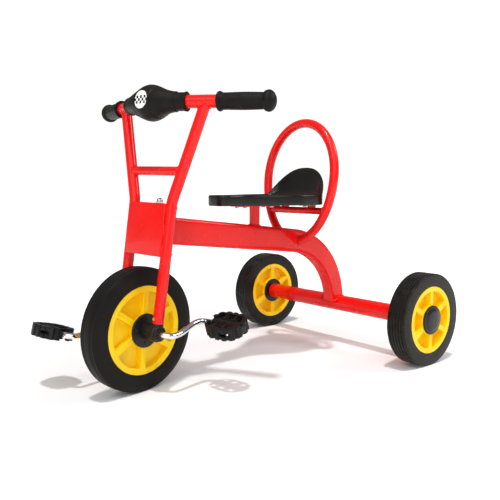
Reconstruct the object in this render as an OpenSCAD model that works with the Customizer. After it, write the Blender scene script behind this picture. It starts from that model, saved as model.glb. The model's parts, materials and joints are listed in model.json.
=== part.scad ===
// Child's pedal tricycle. Millimetres. +X forward, +Y to the rider's left, +Z up,
// standing on the ground with the origin under the middle of its box.

/* [Overall] */
// Distance from the rear axle to the front axle
wheelbase = 590; // [540:5:660]
// Distance between the middles of the two rear wheels
rear_track = 530; // [480:5:600]
// Height of the front wheel axle above the ground is half of this tyre diameter
front_tyre_d = 250; // [220:1:280]
// Rear tyre diameter
rear_tyre_d = 211; // [180:1:240]

/* [Steering] */
// Backward lean of the steering axis in degrees
steer_lean = 8.5; // [5:0.5:14]
// Angle to the left at which the fork stands when parked
steer_rest = 9.5; // [0:0.5:20]
// Distance of the steering pin behind the wheel axle line
pin_offset = 18; // [14:1:24]

/* [Wheels] */
// Front tyre width
front_tyre_w = 42; // [36:1:50]
// Rear tyre width
rear_tyre_w = 46; // [38:1:56]
// Diameter of the front rim where the tyre starts
front_rim_d = 178; // [150:1:190]
// Diameter of the rear rim where the tyre starts
rear_rim_d = 152; // [130:1:160]
// Width of the front rim's outer ring, seen from the side
front_ring = 12; // [8:1:16]
// Width of the rear rim's outer ring, seen from the side
rear_ring = 10.5; // [8:0.5:14]
// Width of one front rim spoke
front_spoke_w = 12; // [8:1:16]
// Width of one rear rim spoke
rear_spoke_w = 10.5; // [7:0.5:14]
// Number of spokes in each rim
spoke_count = 6; // [5:1:8]
// Thickness of the web between the spokes
web_t = 10; // [6:1:14]
// Height of the rib that keys each tyre to its rim
key_rib = 3; // [2:0.5:4]
// Width of the rib that keys each tyre to its rim
key_rib_w = 12; // [8:1:16]
// Diameter of the domed cap on each rear hub
hub_cap_d = 67; // [56:1:76]
// Height of the domed cap above the rim face
hub_cap_h = 7; // [5:0.5:12]

/* [Axles and running fits] */
// Diameter of the rear axle rod
rear_rod_d = 12; // [10:1:14]
// Diameter of the front axle and crank rod
crank_rod_d = 12; // [10:1:13]
// Diameter of the pedal spindles
spindle_d = 10; // [8:1:11]
// Radial running clearance of every turning shaft
run_gap = 0.05; // [0.03:0.01:0.08]
// Side clearance between parts that turn against each other
side_gap = 0.5; // [0.3:0.1:1]

/* [Frame] */
// Width of the main beam
beam_w = 32; // [26:1:40]
// Depth of the main beam behind the head tube
beam_h = 56; // [46:1:64]
// Depth of the main beam where it meets the rear axle tube
beam_end_h = 47; // [40:1:54]
// Corner radius of the main beam
beam_corner = 9; // [6:1:12]
// Downward slope of the beam towards the rear in degrees
beam_slope = 6.5; // [3:0.5:9]
// Radius of the rear bend, at the middle of the beam
beam_bend_r = 170; // [150:5:190]
// Wall of the main beam
beam_wall = 1.6; // [1.2:0.1:2.5]
// Diameter of the rear axle tube
axle_tube_d = 40; // [34:1:46]
// Wall of the round frame tubes
tube_wall = 1.6; // [1.2:0.1:2.5]
// Outer diameter of the head tube
head_tube_d = 36; // [32:1:42]
// Length of the head tube
head_tube_l = 80; // [66:1:88]
// Diameter of the steering pin
king_pin_d = 10; // [8:1:12]

/* [Backrest hoop] */
// Gap between the widest part of the seat and the hoop, on each side
hoop_side_gap = 7.5; // [5:0.5:20]
// Height of the hoop above its widest level
hoop_top_h = 128; // [115:1:160]
// Height of the widest level above the beam side where the hoop is welded
hoop_low_h = 155; // [140:1:175]
// Diameter of the hoop tube
hoop_tube_d = 21; // [18:1:24]
// Backward lean of the hoop in degrees
hoop_lean = 5.9; // [3:0.1:9]
// Distance of the hoop's foot in front of the rear axle
hoop_x = 154; // [140:1:170]
// Diameter of the cross tube under the seat
cross_tube_d = 16; // [14:1:20]

/* [Seat] */
// Length of the seat
seat_l = 275; // [240:1:300]
// Width of the seat at its nose
seat_nose_w = 66; // [56:1:80]
// Width of the seat at the back
seat_rear_w = 186; // [170:1:192]
// Height of the rim around the seat
seat_rim_h = 23.5; // [18:0.5:28]
// Height of the raised back above the rim
seat_back_h = 64; // [45:1:80]
// Backward lean of the raised back in degrees
seat_back_lean = 10; // [5:1:16]
// Height of the seat's lower edge above the main beam, at the seat post
seat_rise = 46; // [36:1:70]
// Distance of the seat's rear edge in front of the rear axle
seat_x = 126; // [120:1:136]
// Wall of the seat moulding
seat_wall = 5; // [3:0.5:6]
// Diameter of the hole in the raised back
seat_hole_d = 6; // [4:0.5:8]
// Height of that hole above the rim's lower edge
seat_hole_h = 53; // [44:1:60]
// Size of the seat post along the beam
post_l = 20; // [16:1:26]
// Size of the seat post across the beam
post_w = 16; // [14:1:22]
// Distance of the seat post in front of the rear axle
post_x = 282; // [260:1:300]

/* [Fork and handlebar] */
// Distance between the fork legs beside the wheel, centre to centre
leg_gap = 108; // [102:1:120]
// Diameter of the fork legs
leg_d = 22; // [20:1:25]
// Height of the handlebar above the bend in the legs, along the steering axis
bar_rise = 187; // [165:1:220]
// Distance between the leg tops, centre to centre
leg_top_gap = 234; // [190:2:250]
// Height of the crossbar above the bend in the legs, along the steering axis
crossbar_rise = 59; // [45:1:80]
// Diameter of the crossbar
crossbar_d = 18; // [16:1:20]
// Gap between the front tyre and the front panel
tyre_clearance = 23; // [16:1:34]
// Height of the front panel
panel_h = 104; // [98:1:112]
// Thickness of the front panel and of the two yoke plates
plate_t = 4; // [3:0.5:5]
// Diameter of the handlebar
bar_d = 25; // [22:1:28]
// Half of the handlebar's straight middle
bar_mid = 42; // [30:1:60]
// Backward sweep of each side of the handlebar in degrees
bar_sweep = 21.5; // [10:0.5:30]
// Upward tilt of the swept-back sides of the handlebar in degrees
bar_tilt = 7; // [0:1:15]
// Distance from the bend to the bar's end, along the bar
bar_side_l = 207; // [190:1:240]
// Forward offset of the handlebar's middle from the steering plane
bar_forward = 29; // [20:1:36]

/* [Grips and pad] */
// Length of each grip with its end knob
grip_l = 112; // [100:1:130]
// Wall of the grip's barrel over the bar
grip_wall = 3; // [2:0.5:5]
// Height of the grip's inner flange above the bar
grip_flange = 6.5; // [5:0.5:9]
// Height of the grip's end knob above the bar
grip_knob = 7.5; // [6:0.5:10]
// Largest diameter of the handlebar pad
pad_d = 71; // [60:1:84]
// Wall of the pad's necks over the bar
pad_neck_wall = 5; // [3:0.5:8]
// Half of the pad's bulb length
pad_bulb_l = 62; // [50:1:70]
// Length of each neck along the bar
pad_neck_l = 26; // [20:1:44]
// Diameter of the round plate on the pad
roundel_d = 35; // [30:1:40]

/* [Cranks and pedals] */
// Crank length, from axle to spindle
crank_r = 104; // [90:1:112]
// Upward turn of the left crank from square to the fork when parked
crank_rest = 15; // [-20:0.5:30]
// Radius of the bends in the crank rod
crank_bend_r = 16; // [12:1:18]
// Length of a pedal along its spindle
pedal_l = 84; // [76:1:96]
// Width of a pedal
pedal_w = 70; // [62:1:80]
// Thickness of a pedal
pedal_t = 24; // [22:1:28]
// Forward tip of the left pedal from square to the fork when parked
pedal_left_turn = 27; // [-90:1:90]
// Forward tip of the right pedal from square to the fork when parked
pedal_right_turn = -5; // [-90:1:90]
// Lugs around the rim of a pedal
pedal_lugs = 14; // [10:2:18]

/* [Hidden] */
$fn = 64;

RED = [0.90, 0.10, 0.08];
YELLOW = [0.98, 0.80, 0.10];
BLACK = [0.10, 0.10, 0.10];
GREY = [0.24, 0.24, 0.25];
CHROME = [0.80, 0.80, 0.82];
BRASS = [0.80, 0.65, 0.28];
WHITE = [0.95, 0.95, 0.95];

// A cut runs this far past the face it opens
past = 1;

front_r = front_tyre_d / 2;
rear_r = rear_tyre_d / 2;
rod_r = rear_rod_d / 2;
crank_rod_r = crank_rod_d / 2;
spindle_r = spindle_d / 2;
leg_r = leg_d / 2;
leg_y = leg_gap / 2;
leg_top_y = leg_top_gap / 2;
bar_r = bar_d / 2;
hoop_r = hoop_tube_d / 2;

// Rear wheel, from its middle plane outwards
rear_rim_face = rear_tyre_w / 2 - 0.5;
inner_disc_t = 3;
rear_bush_r = rod_r + 4;
rear_hub_r = rear_bush_r + 16;
wheel_washer_t = 1.5;
axle_tube_end = rear_track / 2 - rear_rim_face - inner_disc_t - wheel_washer_t;
rod_end = rear_track / 2 + rear_rim_face + 3;
hub_recess_r = 20;
hub_recess_d = 5;

// The rear axle tube is 0.4 mm heavier than the other tubes
axle_tube_bore_r = axle_tube_d / 2 - tube_wall - 0.4;

// Front wheel, from its middle plane outwards
front_rim_face = front_tyre_w / 2 - 2;
flange_t = 4;
flange_r = 34;
flange_face = front_rim_face + flange_t;
housing_r = crank_rod_r + 10.7;
housing_start = flange_face + 1;
housing_end = leg_y + leg_r - 1;
bush_wall = 2.5;
bush_r = crank_rod_r + bush_wall;
bush_end = housing_end + 2.5;
axle_washer_t = 1.5;
bend_start = bush_end + axle_washer_t + side_gap;
arm_y = bend_start + crank_bend_r;
spindle_start = arm_y + crank_bend_r;
// The pedal turns just outside the crank's last bend
pedal_start = spindle_start + side_gap;
pedal_mid = pedal_start + pedal_l / 2;
leg_foot = housing_r + 2.5;

// Head tube, measured along the steering axis from the front axle's level
panel_low = front_r + tyre_clearance;
panel_top = panel_low + panel_h;
head_mid = (panel_low + panel_top) / 2;
bend_h = panel_top + 5;
crossbar_h = bend_h + crossbar_rise;
bar_h = bend_h + bar_rise;
head_bush_flange = 3;
yoke_gap = head_tube_l / 2 + head_bush_flange + side_gap;
king_pin_r = king_pin_d / 2;
head_bush_r = king_pin_r + 4;

// The steering axis leans back through the point pin_offset behind the front axle
function axis_point(h) = [
    wheelbase - pin_offset * cos(steer_lean) - h * sin(steer_lean), 0,
    front_r - pin_offset * sin(steer_lean) + h * cos(steer_lean)
];
head_point = axis_point(head_mid);

// Main beam: a straight run, then a bend down to the rear axle tube
function beam_z(x) = head_point[2] + tan(beam_slope) * (x - head_point[0]);
bend_from = 90 + beam_slope;
bend_to = 180;
// The beam's low end stands this far in front of the rear axle
beam_foot_x = 9.5;
bend_cx = beam_foot_x + beam_bend_r;
bend_top_x = bend_cx + beam_bend_r * cos(bend_from);
bend_cz = beam_z(bend_top_x) - beam_bend_r * sin(bend_from);
bend_steps = 18;
function beam_bend_point(a) = [
    bend_cx + beam_bend_r * cos(a), 0, bend_cz + beam_bend_r * sin(a)
];
// A straight run carries the bend's low end down past the top of the axle tube
beam_foot = [beam_foot_x, 0, min(bend_cz, rear_r) - 5];
beam_path = concat(
    [[head_point[0], 0, head_point[2]]],
    [for (i = [0:bend_steps]) beam_bend_point(bend_from + (bend_to - bend_from) * i / bend_steps)],
    [beam_foot]
);
beam_depths = concat(
    [beam_h],
    [for (i = [0:bend_steps]) beam_h + (beam_end_h - beam_h) * i / bend_steps],
    [beam_end_h]
);

// The hollow inside opens onto the axle tube, which closes the beam's rear end
beam_hollow_path = [for (i = [0:len(beam_path) - 1])
    i < len(beam_path) - 1 ? beam_path[i] : (beam_path[i - 1] + beam_path[i]) / 2];

// Hoop: two half ellipses in a plane that leans back
hoop_w = seat_rear_w + 2 * hoop_side_gap + hoop_tube_d;
hoop_foot_z = beam_z(hoop_x);
hoop_wide_z = hoop_foot_z + hoop_low_h;
hoop_steps = 48;
function hoop_point(a) = let (
    half_h = sin(a) > 0 ? hoop_top_h : hoop_low_h,
    rise = hoop_low_h + half_h * sin(a)
) [hoop_x - rise * sin(hoop_lean), hoop_w / 2 * cos(a), hoop_foot_z + rise * cos(hoop_lean)];
hoop_path = [for (i = [0:hoop_steps]) hoop_point(-86 + 352 * i / hoop_steps)];
hoop_normal = [cos(hoop_lean), 0, sin(hoop_lean)];
function hoop_x_at(z) = hoop_x - (z - hoop_foot_z) * tan(hoop_lean);
function hoop_half_w(z) = hoop_w / 2 * sqrt(1 - pow((hoop_wide_z - z) / hoop_low_h, 2));

// Seat supports
seat_z = beam_z(post_x) + beam_h / 2 + seat_rise;
seat_plate_t = 3;
cross_tube_z = seat_z - 7 - cross_tube_d / 2;
cross_tube_x = hoop_x_at(cross_tube_z);
tab_t = 3;
seat_bolt_r = 2.5;
seat_bolt_places = [
    [post_x - 40, -14], [post_x - 40, 14], [post_x + 40, -14], [post_x + 40, 14]
];
tab_y = 45;
tab_bolt_x = cross_tube_x + 18;
seat_rim_top = seat_z + seat_rim_h;
seat_nose_x = seat_x + seat_l;

// Handlebar, in the fork's own frame
bar_bend_r = 70;
grip_end_t = 10;
bar_bend_t = bar_bend_r * tan(bar_sweep / 2);
// A point of the bar's tilted plane, back from its front edge
function bar_point(back, y) = [
    bar_forward - back * cos(bar_tilt), y, bar_h + back * sin(bar_tilt)
];
function bar_side_point(s) = bar_point(s * sin(bar_sweep), bar_mid + s * cos(bar_sweep));
bar_normal = [sin(bar_tilt), 0, cos(bar_tilt)];
bar_half_bend = [for (i = [0:5]) let (a = bar_sweep * i / 5)
    bar_point(bar_bend_r * (1 - cos(a)), bar_mid - bar_bend_t + bar_bend_r * sin(a))];
bar_half = concat(bar_half_bend, [bar_side_point(bar_side_l)]);
bar_path = concat(
    [for (i = [len(bar_half) - 1:-1:0]) [bar_half[i][0], -bar_half[i][1], bar_half[i][2]]],
    bar_half
);
leg_top = bar_point((leg_top_y - bar_mid) * tan(bar_sweep), leg_top_y);

// Middle of the object's length: rear tyre behind, right pedal in front
function fork_reach(x, y, z) = wheelbase - z * sin(steer_lean)
    + (-pin_offset + (pin_offset + x) * cos(steer_rest) - y * sin(steer_rest)) * cos(steer_lean);
front_reach = fork_reach(crank_r * cos(crank_rest), -pedal_mid, -crank_r * sin(crank_rest))
    + norm([pedal_w / 2 * cos(steer_rest), pedal_l / 2 * sin(steer_rest)]);
mid_x = (front_reach - rear_r) / 2;

// ---- shared shapes ----

function unit(v) = v / norm(v);
function tangent_at(p, i) = let (n = len(p))
    i == 0 ? unit(p[1] - p[0])
    : i == n - 1 ? unit(p[n - 1] - p[n - 2])
    : unit(unit(p[i + 1] - p[i]) + unit(p[i] - p[i - 1]));
function round_section(r, k) = [for (j = [0:k - 1]) [r * cos(360 * j / k), r * sin(360 * j / k)]];
function box_section(w, h, r, k) = [
    for (c = [0:3]) for (j = [0:k])
        let (a = 90 * c + 90 * j / k, sx = c == 0 || c == 3 ? 1 : -1, sy = c < 2 ? 1 : -1)
        [sx * (w / 2 - r) + r * cos(a), sy * (h / 2 - r) + r * sin(a)]
];
function placed_ring(p, i, b, section) = let (n = cross(b, tangent_at(p, i)))
    [for (q = section) p[i] + q[0] * b + q[1] * n];

// A solid bar whose section i stands at point i of a flat path with plane normal b
module swept(path, b, sections) {
    n = len(path);
    k = len(sections[0]);
    points = [for (i = [0:n - 1]) each placed_ring(path, i, b, sections[i])];
    sides = [for (i = [0:n - 2]) for (j = [0:k - 1]) let (j2 = (j + 1) % k)
        each [
            [i * k + j, i * k + j2, (i + 1) * k + j2],
            [i * k + j, (i + 1) * k + j2, (i + 1) * k + j]
        ]];
    polyhedron(points, concat(sides,
        [[for (j = [k - 1:-1:0]) j]], [[for (j = [0:k - 1]) (n - 1) * k + j]]));
}

module round_bar(path, b, r, k) {
    swept(path, b, [for (p = path) round_section(r, k)]);
}

// A hollow round tube along a flat path
module round_tube(path, b, r, wall, k) {
    difference() {
        round_bar(path, b, r, k);
        round_bar(lengthened(path, past), b, r - wall, k);
    }
}

// The same path with its two ends moved out
function lengthened(p, d) = let (n = len(p)) [for (i = [0:n - 1])
    i == 0 ? p[0] - d * tangent_at(p, 0) : i == n - 1 ? p[i] + d * tangent_at(p, i) : p[i]];

// A cylinder along Y from y0 to y1
module rod_y(y0, y1, r) {
    translate([0, y0, 0]) rotate([-90, 0, 0]) cylinder(h = y1 - y0, r = r);
}

// A ring along Y from y0 to y1
module ring_y(y0, y1, r, r_in) {
    difference() {
        rod_y(y0, y1, r);
        rod_y(y0 - past, y1 + past, r_in);
    }
}

// A profile of [radius, y] points turned about the Y axis
module turned_y(points) {
    rotate([-90, 0, 0]) rotate_extrude($fn = 128) polygon(points);
}

// Puts the object's middle over the origin
module centred() {
    translate([-mid_x, 0, 0]) children();
}

// The fork's own frame: origin at the front axle, Z along the steering axis
module in_fork() {
    centred()
        translate([wheelbase, 0, front_r])
            rotate([0, -steer_lean, 0])
                translate([-pin_offset, 0, 0])
                    rotate([0, 0, steer_rest])
                        translate([pin_offset, 0, 0])
                            children();
}

module both_sides() {
    children();
    mirror([0, 1, 0]) children();
}

// Left (side = 1) or right (side = -1) rear wheel place, outer face away from the frame
module at_rear_wheel(side) {
    centred()
        translate([0, side * rear_track / 2, rear_r])
            mirror([0, side > 0 ? 0 : 1, 0])
                children();
}

module on_side(side) {
    mirror([0, side > 0 ? 0 : 1, 0]) children();
}

// ---- frame ----

module beam_envelope() {
    swept(beam_path, [0, 1, 0], [for (h = beam_depths) box_section(beam_w, h, beam_corner, 4)]);
}

module main_beam() {
    inner = beam_corner - beam_wall;
    color(RED) centred() difference() {
        beam_envelope();
        swept(beam_hollow_path, [0, 1, 0],
            [for (h = beam_depths) box_section(beam_w - 2 * beam_wall, h - 2 * beam_wall, inner, 4)]);
        on_head_axis() cylinder(h = 4 * head_tube_l, r = head_tube_d / 2, center = true);
        translate([0, 0, rear_r]) rod_y(-beam_w, beam_w, axle_tube_d / 2);
        translate([-beam_bend_r, -beam_w, 0]) cube([2 * beam_bend_r, 2 * beam_w, rear_r + 8]);
        on_head_axis() translate([0, -beam_w, -beam_h]) cube([beam_h, 2 * beam_w, 2 * beam_h]);
    }
}

module on_head_axis() {
    translate(head_point) rotate([0, -steer_lean, 0]) children();
}

module rear_axle_tube() {
    color(RED) centred() translate([0, 0, rear_r])
        ring_y(-axle_tube_end, axle_tube_end, axle_tube_d / 2, axle_tube_bore_r);
}

module head_tube() {
    color(RED) centred() on_head_axis() difference() {
        cylinder(h = head_tube_l, r = head_tube_d / 2, center = true);
        cylinder(h = head_tube_l + 2 * past, r = head_bush_r, center = true);
    }
}

module head_bush(side) {
    half = head_tube_l / 2;
    color(BLACK) centred() on_head_axis() mirror([0, 0, side > 0 ? 0 : 1]) difference() {
        union() {
            translate([0, 0, half - 22]) cylinder(h = 22, r = head_bush_r);
            translate([0, 0, half]) cylinder(h = head_bush_flange, r = head_tube_d / 2 - 2);
        }
        translate([0, 0, half - 22 - past])
            cylinder(h = 22 + head_bush_flange + 2 * past, r = king_pin_r + run_gap);
    }
}

module head_bush_upper() { head_bush(1); }

module head_bush_lower() { head_bush(-1); }

module backrest_hoop() {
    color(RED) centred() difference() {
        round_tube(hoop_path, hoop_normal, hoop_r, tube_wall, 18);
        beam_envelope();
    }
}

module hoop_cross_tube() {
    half = hoop_half_w(cross_tube_z);
    color(RED) centred() difference() {
        translate([cross_tube_x, 0, cross_tube_z])
            ring_y(-half, half, cross_tube_d / 2, cross_tube_d / 2 - tube_wall);
        round_bar(hoop_path, hoop_normal, hoop_r, 18);
    }
}

module seat_post() {
    low = beam_z(post_x);
    height = seat_z - seat_plate_t - low;
    color(RED) centred() difference() {
        translate([post_x - post_l / 2, -post_w / 2, low]) cube([post_l, post_w, height]);
        translate([post_x - post_l / 2 + 2, -post_w / 2 + 2, low - past])
            cube([post_l - 4, post_w - 4, height + 2 * past]);
        beam_envelope();
    }
}

module seat_plate() {
    color(RED) centred() difference() {
        translate([post_x - 52, -23, seat_z - seat_plate_t]) cube([104, 46, seat_plate_t]);
        for (p = seat_bolt_places)
            translate([p[0], p[1], seat_z - seat_plate_t - past])
                cylinder(h = seat_plate_t + 2 * past, r = seat_bolt_r + 0.3);
    }
}

// Two tabs welded on the cross tube carry the back of the seat
module seat_tabs() {
    color(RED) centred() for (s = [-1, 1]) difference() {
        union() {
            translate([cross_tube_x - 6, s * tab_y - 12, seat_z - tab_t]) cube([34, 24, tab_t]);
            translate([cross_tube_x - 6, s * tab_y - 12, cross_tube_z])
                cube([tab_t, 24, seat_z - cross_tube_z]);
        }
        translate([tab_bolt_x, s * tab_y, seat_z - tab_t - past])
            cylinder(h = tab_t + 2 * past, r = seat_bolt_r + 0.3);
        translate([cross_tube_x, 0, cross_tube_z]) rod_y(-hoop_w, hoop_w, cross_tube_d / 2);
    }
}

function smooth(t) = let (c = max(0, min(1, t))) c * c * (3 - 2 * c);
// Half width of the seat at the distance x in front of the rear axle
function seat_half_w(x) = let (
    flare = smooth((seat_nose_x - 52 - x) / 140),
    w = seat_nose_w / 2 + (seat_rear_w - seat_nose_w) / 2 * flare,
    nose = max(0, (x - (seat_nose_x - 30)) / 30),
    rear = max(0, (seat_x + 42 - x) / 42)
) w * pow(max(0, 1 - pow(nose, 2.6)), 1 / 2.6) * pow(max(0, 1 - pow(rear, 2.4)), 1 / 2.4);
seat_steps = 40;
function seat_outline(inset) = let (
    x0 = seat_x + inset, x1 = seat_nose_x - inset,
    xs = [for (i = [0:seat_steps]) x0 + (x1 - x0) * (1 - cos(180 * i / seat_steps)) / 2],
    shrink = [for (x = xs) let (
        u = (x - (x0 + x1) / 2) / (x1 - x0), outer = seat_x + seat_l / 2 + u * seat_l
    ) [x, max(0, seat_half_w(outer) * (1 - inset / (seat_rear_w / 2)) - inset / 2)]]
) concat(
    [for (i = [0:seat_steps]) shrink[i]],
    [for (i = [seat_steps - 1:-1:1]) [shrink[i][0], -shrink[i][1]]]
);
function seat_back_top(y) = let (t = min(1, abs(y) / (seat_rear_w / 2)))
    seat_back_h * pow(max(0, 1 - pow(t, 2.4)), 0.8);

module seat_back_wall() {
    reach = seat_rear_w / 2;
    lift = seat_rim_h - seat_wall;
    intersection() {
        translate([seat_x, 0, seat_z + lift]) rotate([0, -seat_back_lean, 0]) translate([-seat_x, 0, 0])
            linear_extrude(seat_back_h * 1.3) difference() {
                polygon(seat_outline(0));
                polygon(seat_outline(6.5));
                translate([seat_x + 60, -reach]) square([seat_l, 2 * reach]);
            }
        translate([seat_x - 60, 0, seat_rim_top - seat_wall]) rotate([90, 0, 90]) linear_extrude(160)
            polygon(concat(
                [[-reach, 0]],
                [for (i = [0:32]) let (y = -reach + 2 * reach * i / 32)
                    [y, seat_wall + seat_back_top(y)]],
                [[reach, 0]]
            ));
    }
}

module seat() {
    color(BLACK) centred() difference() {
        union() {
            difference() {
                translate([0, 0, seat_z]) linear_extrude(seat_rim_h) polygon(seat_outline(0));
                translate([0, 0, seat_z - past])
                    linear_extrude(seat_rim_h - seat_wall + past) polygon(seat_outline(seat_wall));
            }
            for (p = seat_bolt_places) translate([p[0], p[1], seat_z])
                cylinder(h = seat_rim_h - seat_wall + 0.5, r = 7);
            for (s = [-1, 1]) translate([tab_bolt_x, s * tab_y, seat_z])
                cylinder(h = seat_rim_h - seat_wall + 0.5, r = 7);
            seat_back_wall();
        }
        for (p = seat_bolt_places) translate([p[0], p[1], seat_z - past])
            cylinder(h = 15 + past, r = seat_bolt_r);
        for (s = [-1, 1]) translate([tab_bolt_x, s * tab_y, seat_z - past])
            cylinder(h = 15 + past, r = seat_bolt_r);
        seat_hole_cut();
    }
}

module seat_hole_cut() {
    rise = seat_hole_h - (seat_rim_h - seat_wall);
    translate([seat_x, 0, seat_z + seat_rim_h - seat_wall]) rotate([0, -seat_back_lean, 0])
        translate([-20, 0, rise]) rotate([0, 90, 0]) cylinder(h = 60, r = seat_hole_d / 2);
}

module seat_bolts() {
    color(CHROME) centred() {
        for (p = seat_bolt_places) seat_bolt(p[0], p[1], seat_z - seat_plate_t);
        for (s = [-1, 1]) seat_bolt(tab_bolt_x, s * tab_y, seat_z - tab_t);
    }
}

module seat_bolt(x, y, z) {
    translate([x, y, z - 3.2]) cylinder(h = 3.2, r = 4.6, $fn = 6);
    translate([x, y, z - 0.1]) cylinder(h = 16, r = seat_bolt_r);
}

// ---- rear axle and wheels ----

module rear_axle_rod() {
    color(CHROME) centred() translate([0, 0, rear_r]) rod_y(-rod_end, rod_end, rod_r);
}

module axle_tube_plugs() {
    color(BLACK) centred() translate([0, 0, rear_r]) both_sides() difference() {
        union() {
            rod_y(axle_tube_end - 25, axle_tube_end, axle_tube_bore_r);
            rod_y(axle_tube_end, axle_tube_end + wheel_washer_t - side_gap, axle_tube_d / 2 - 3);
        }
        rod_y(axle_tube_end - 30, axle_tube_end + 10, rod_r);
    }
}

// Spring caps pressed on the rod's ends hold the wheels
module axle_lock_caps() {
    seat_y = rear_track / 2 + rear_rim_face - hub_recess_d + side_gap;
    color(CHROME) centred() translate([0, 0, rear_r]) both_sides()
        ring_y(seat_y, seat_y + 3, rod_r + 5, rod_r);
}

groove_count = 5;
groove_w = 3;
groove_d = 2;
function rear_tread(w, r) = let (pitch = (w - 8) / groove_count) [
    for (i = [0:groove_count - 1]) let (y = -(w - 8) / 2 + (i + 0.5) * pitch) each [
        [r, y - groove_w / 2], [r - groove_d, y - groove_w / 2 + 0.6],
        [r - groove_d, y + groove_w / 2 - 0.6], [r, y + groove_w / 2]
    ]
];

// A tyre's rounded shoulder, as [radius, distance from the middle plane]
function shoulder_point(r, half, shoulder, a) =
    [r - shoulder + shoulder * sin(a), half - shoulder + shoulder * cos(a)];
function other_side(q) = [q[0], -q[1]];

module rear_tyre(side) {
    half = rear_tyre_w / 2;
    rim = rear_rim_d / 2;
    shoulder = 4;
    color(GREY) at_rear_wheel(side) turned_y(concat(
        [[rim, -half]],
        [for (a = [0:15:90]) other_side(shoulder_point(rear_r, half, shoulder, a))],
        rear_tread(rear_tyre_w, rear_r),
        [for (a = [90:-15:0]) shoulder_point(rear_r, half, shoulder, a)],
        [[rim, half]],
        [[rim, key_rib_w / 2], [rim + key_rib, key_rib_w / 2]],
        [[rim + key_rib, -key_rib_w / 2], [rim, -key_rib_w / 2]]
    ));
}

module rim_body(rim_r, face, ring, spoke_w, hub_r) {
    turned_y([
        [rim_r - ring, -face], [rim_r, -face], [rim_r, -key_rib_w / 2],
        [rim_r + key_rib, -key_rib_w / 2], [rim_r + key_rib, key_rib_w / 2],
        [rim_r, key_rib_w / 2], [rim_r, face], [rim_r - ring, face]
    ]);
    rod_y(-web_t / 2, web_t / 2, rim_r - ring / 2);
    rod_y(-face, face, hub_r);
    for (i = [0:spoke_count - 1]) rotate([0, 360 * i / spoke_count, 0])
        translate([-spoke_w / 2, -face + 0.5, hub_r / 2])
            cube([spoke_w, 2 * face - 1, rim_r - ring / 2 - hub_r / 2]);
}

module rear_rim(side) {
    color(YELLOW) at_rear_wheel(side) difference() {
        rim_body(rear_rim_d / 2, rear_rim_face, rear_ring, rear_spoke_w, rear_hub_r);
        rod_y(-rear_rim_face - past, rear_rim_face + past, rear_bush_r);
        rod_y(rear_rim_face - hub_recess_d, rear_rim_face + past, hub_recess_r);
    }
}

module rear_bush(side) {
    color(BLACK) at_rear_wheel(side)
        ring_y(-rear_rim_face, rear_rim_face - hub_recess_d, rear_bush_r, rod_r + run_gap);
}

// Hollow dome with a skirt that plugs into the hub's recess
module hub_cap(side) {
    r = hub_cap_d / 2;
    y0 = rear_rim_face;
    color(GREY) at_rear_wheel(side) turned_y([
        [hub_recess_r, y0], [r, y0], [r, y0 + 2], [r - 2, y0 + 3.2], [r - 7, y0 + 3.8],
        [r * 0.62, y0 + hub_cap_h - 1.4], [r * 0.32, y0 + hub_cap_h - 0.3], [0, y0 + hub_cap_h],
        [0, y0 + hub_cap_h - 2.2], [hub_recess_r - 3, y0 + 2.6], [hub_recess_r - 3, y0 - 3],
        [hub_recess_r, y0 - 3]
    ]);
}

module inner_disc(side) {
    color(BLACK) at_rear_wheel(side)
        ring_y(-rear_rim_face - inner_disc_t, -rear_rim_face, hub_cap_d / 2 - 0.5, rod_r + run_gap);
}

module rear_tyre_left() { rear_tyre(1); }

module rear_tyre_right() { rear_tyre(-1); }

module rear_rim_left() { rear_rim(1); }

module rear_rim_right() { rear_rim(-1); }

module rear_bush_left() { rear_bush(1); }

module rear_bush_right() { rear_bush(-1); }

module hub_cap_left() { hub_cap(1); }

module hub_cap_right() { hub_cap(-1); }

module inner_disc_left() { inner_disc(1); }

module inner_disc_right() { inner_disc(-1); }

// ---- fork ----

leg_path = [[0, leg_y, leg_foot], [0, leg_y, bend_h - 20], [0, leg_y + 1.2, bend_h - 8],
    [0, leg_y + 4.4, bend_h + 6], [0, leg_y + 9.2, bend_h + 20], leg_top];

module leg_solid(r) {
    round_bar(leg_path, [1, 0, 0], r, 28);
}

module fork_leg(side) {
    color(RED) in_fork() on_side(side) difference() {
        leg_solid(leg_r);
        round_bar(lengthened(leg_path, past), [1, 0, 0], leg_r - tube_wall, 28);
        bar_solid();
    }
}

module fork_leg_left() { fork_leg(1); }

module fork_leg_right() { fork_leg(-1); }

module fork_crossbar() {
    share = (crossbar_h - bend_h) / (leg_top[2] - bend_h);
    y = leg_y + (leg_top_y - leg_y) * share;
    color(RED) in_fork() difference() {
        translate([leg_top[0] * share, 0, crossbar_h])
            ring_y(-y, y, crossbar_d / 2, crossbar_d / 2 - tube_wall);
        both_sides() leg_solid(leg_r);
    }
}

module front_panel() {
    color(RED) in_fork() difference() {
        translate([leg_r - 1, -leg_y, panel_low]) cube([plate_t, leg_gap, panel_h]);
        both_sides() leg_solid(leg_r);
    }
}

// Plate between the legs that carries the steering pin
module yoke(z) {
    color(RED) in_fork() difference() {
        union() {
            translate([-pin_offset, 0, z]) cylinder(h = plate_t, r = 19);
            translate([-pin_offset, -leg_y, z]) cube([pin_offset + leg_r - 1, leg_gap, plate_t]);
        }
        translate([-pin_offset, 0, z - past]) cylinder(h = plate_t + 2 * past, r = king_pin_r);
        both_sides() leg_solid(leg_r);
    }
}

module yoke_upper() { yoke(head_mid + yoke_gap); }

module yoke_lower() { yoke(head_mid - yoke_gap - plate_t); }

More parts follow.
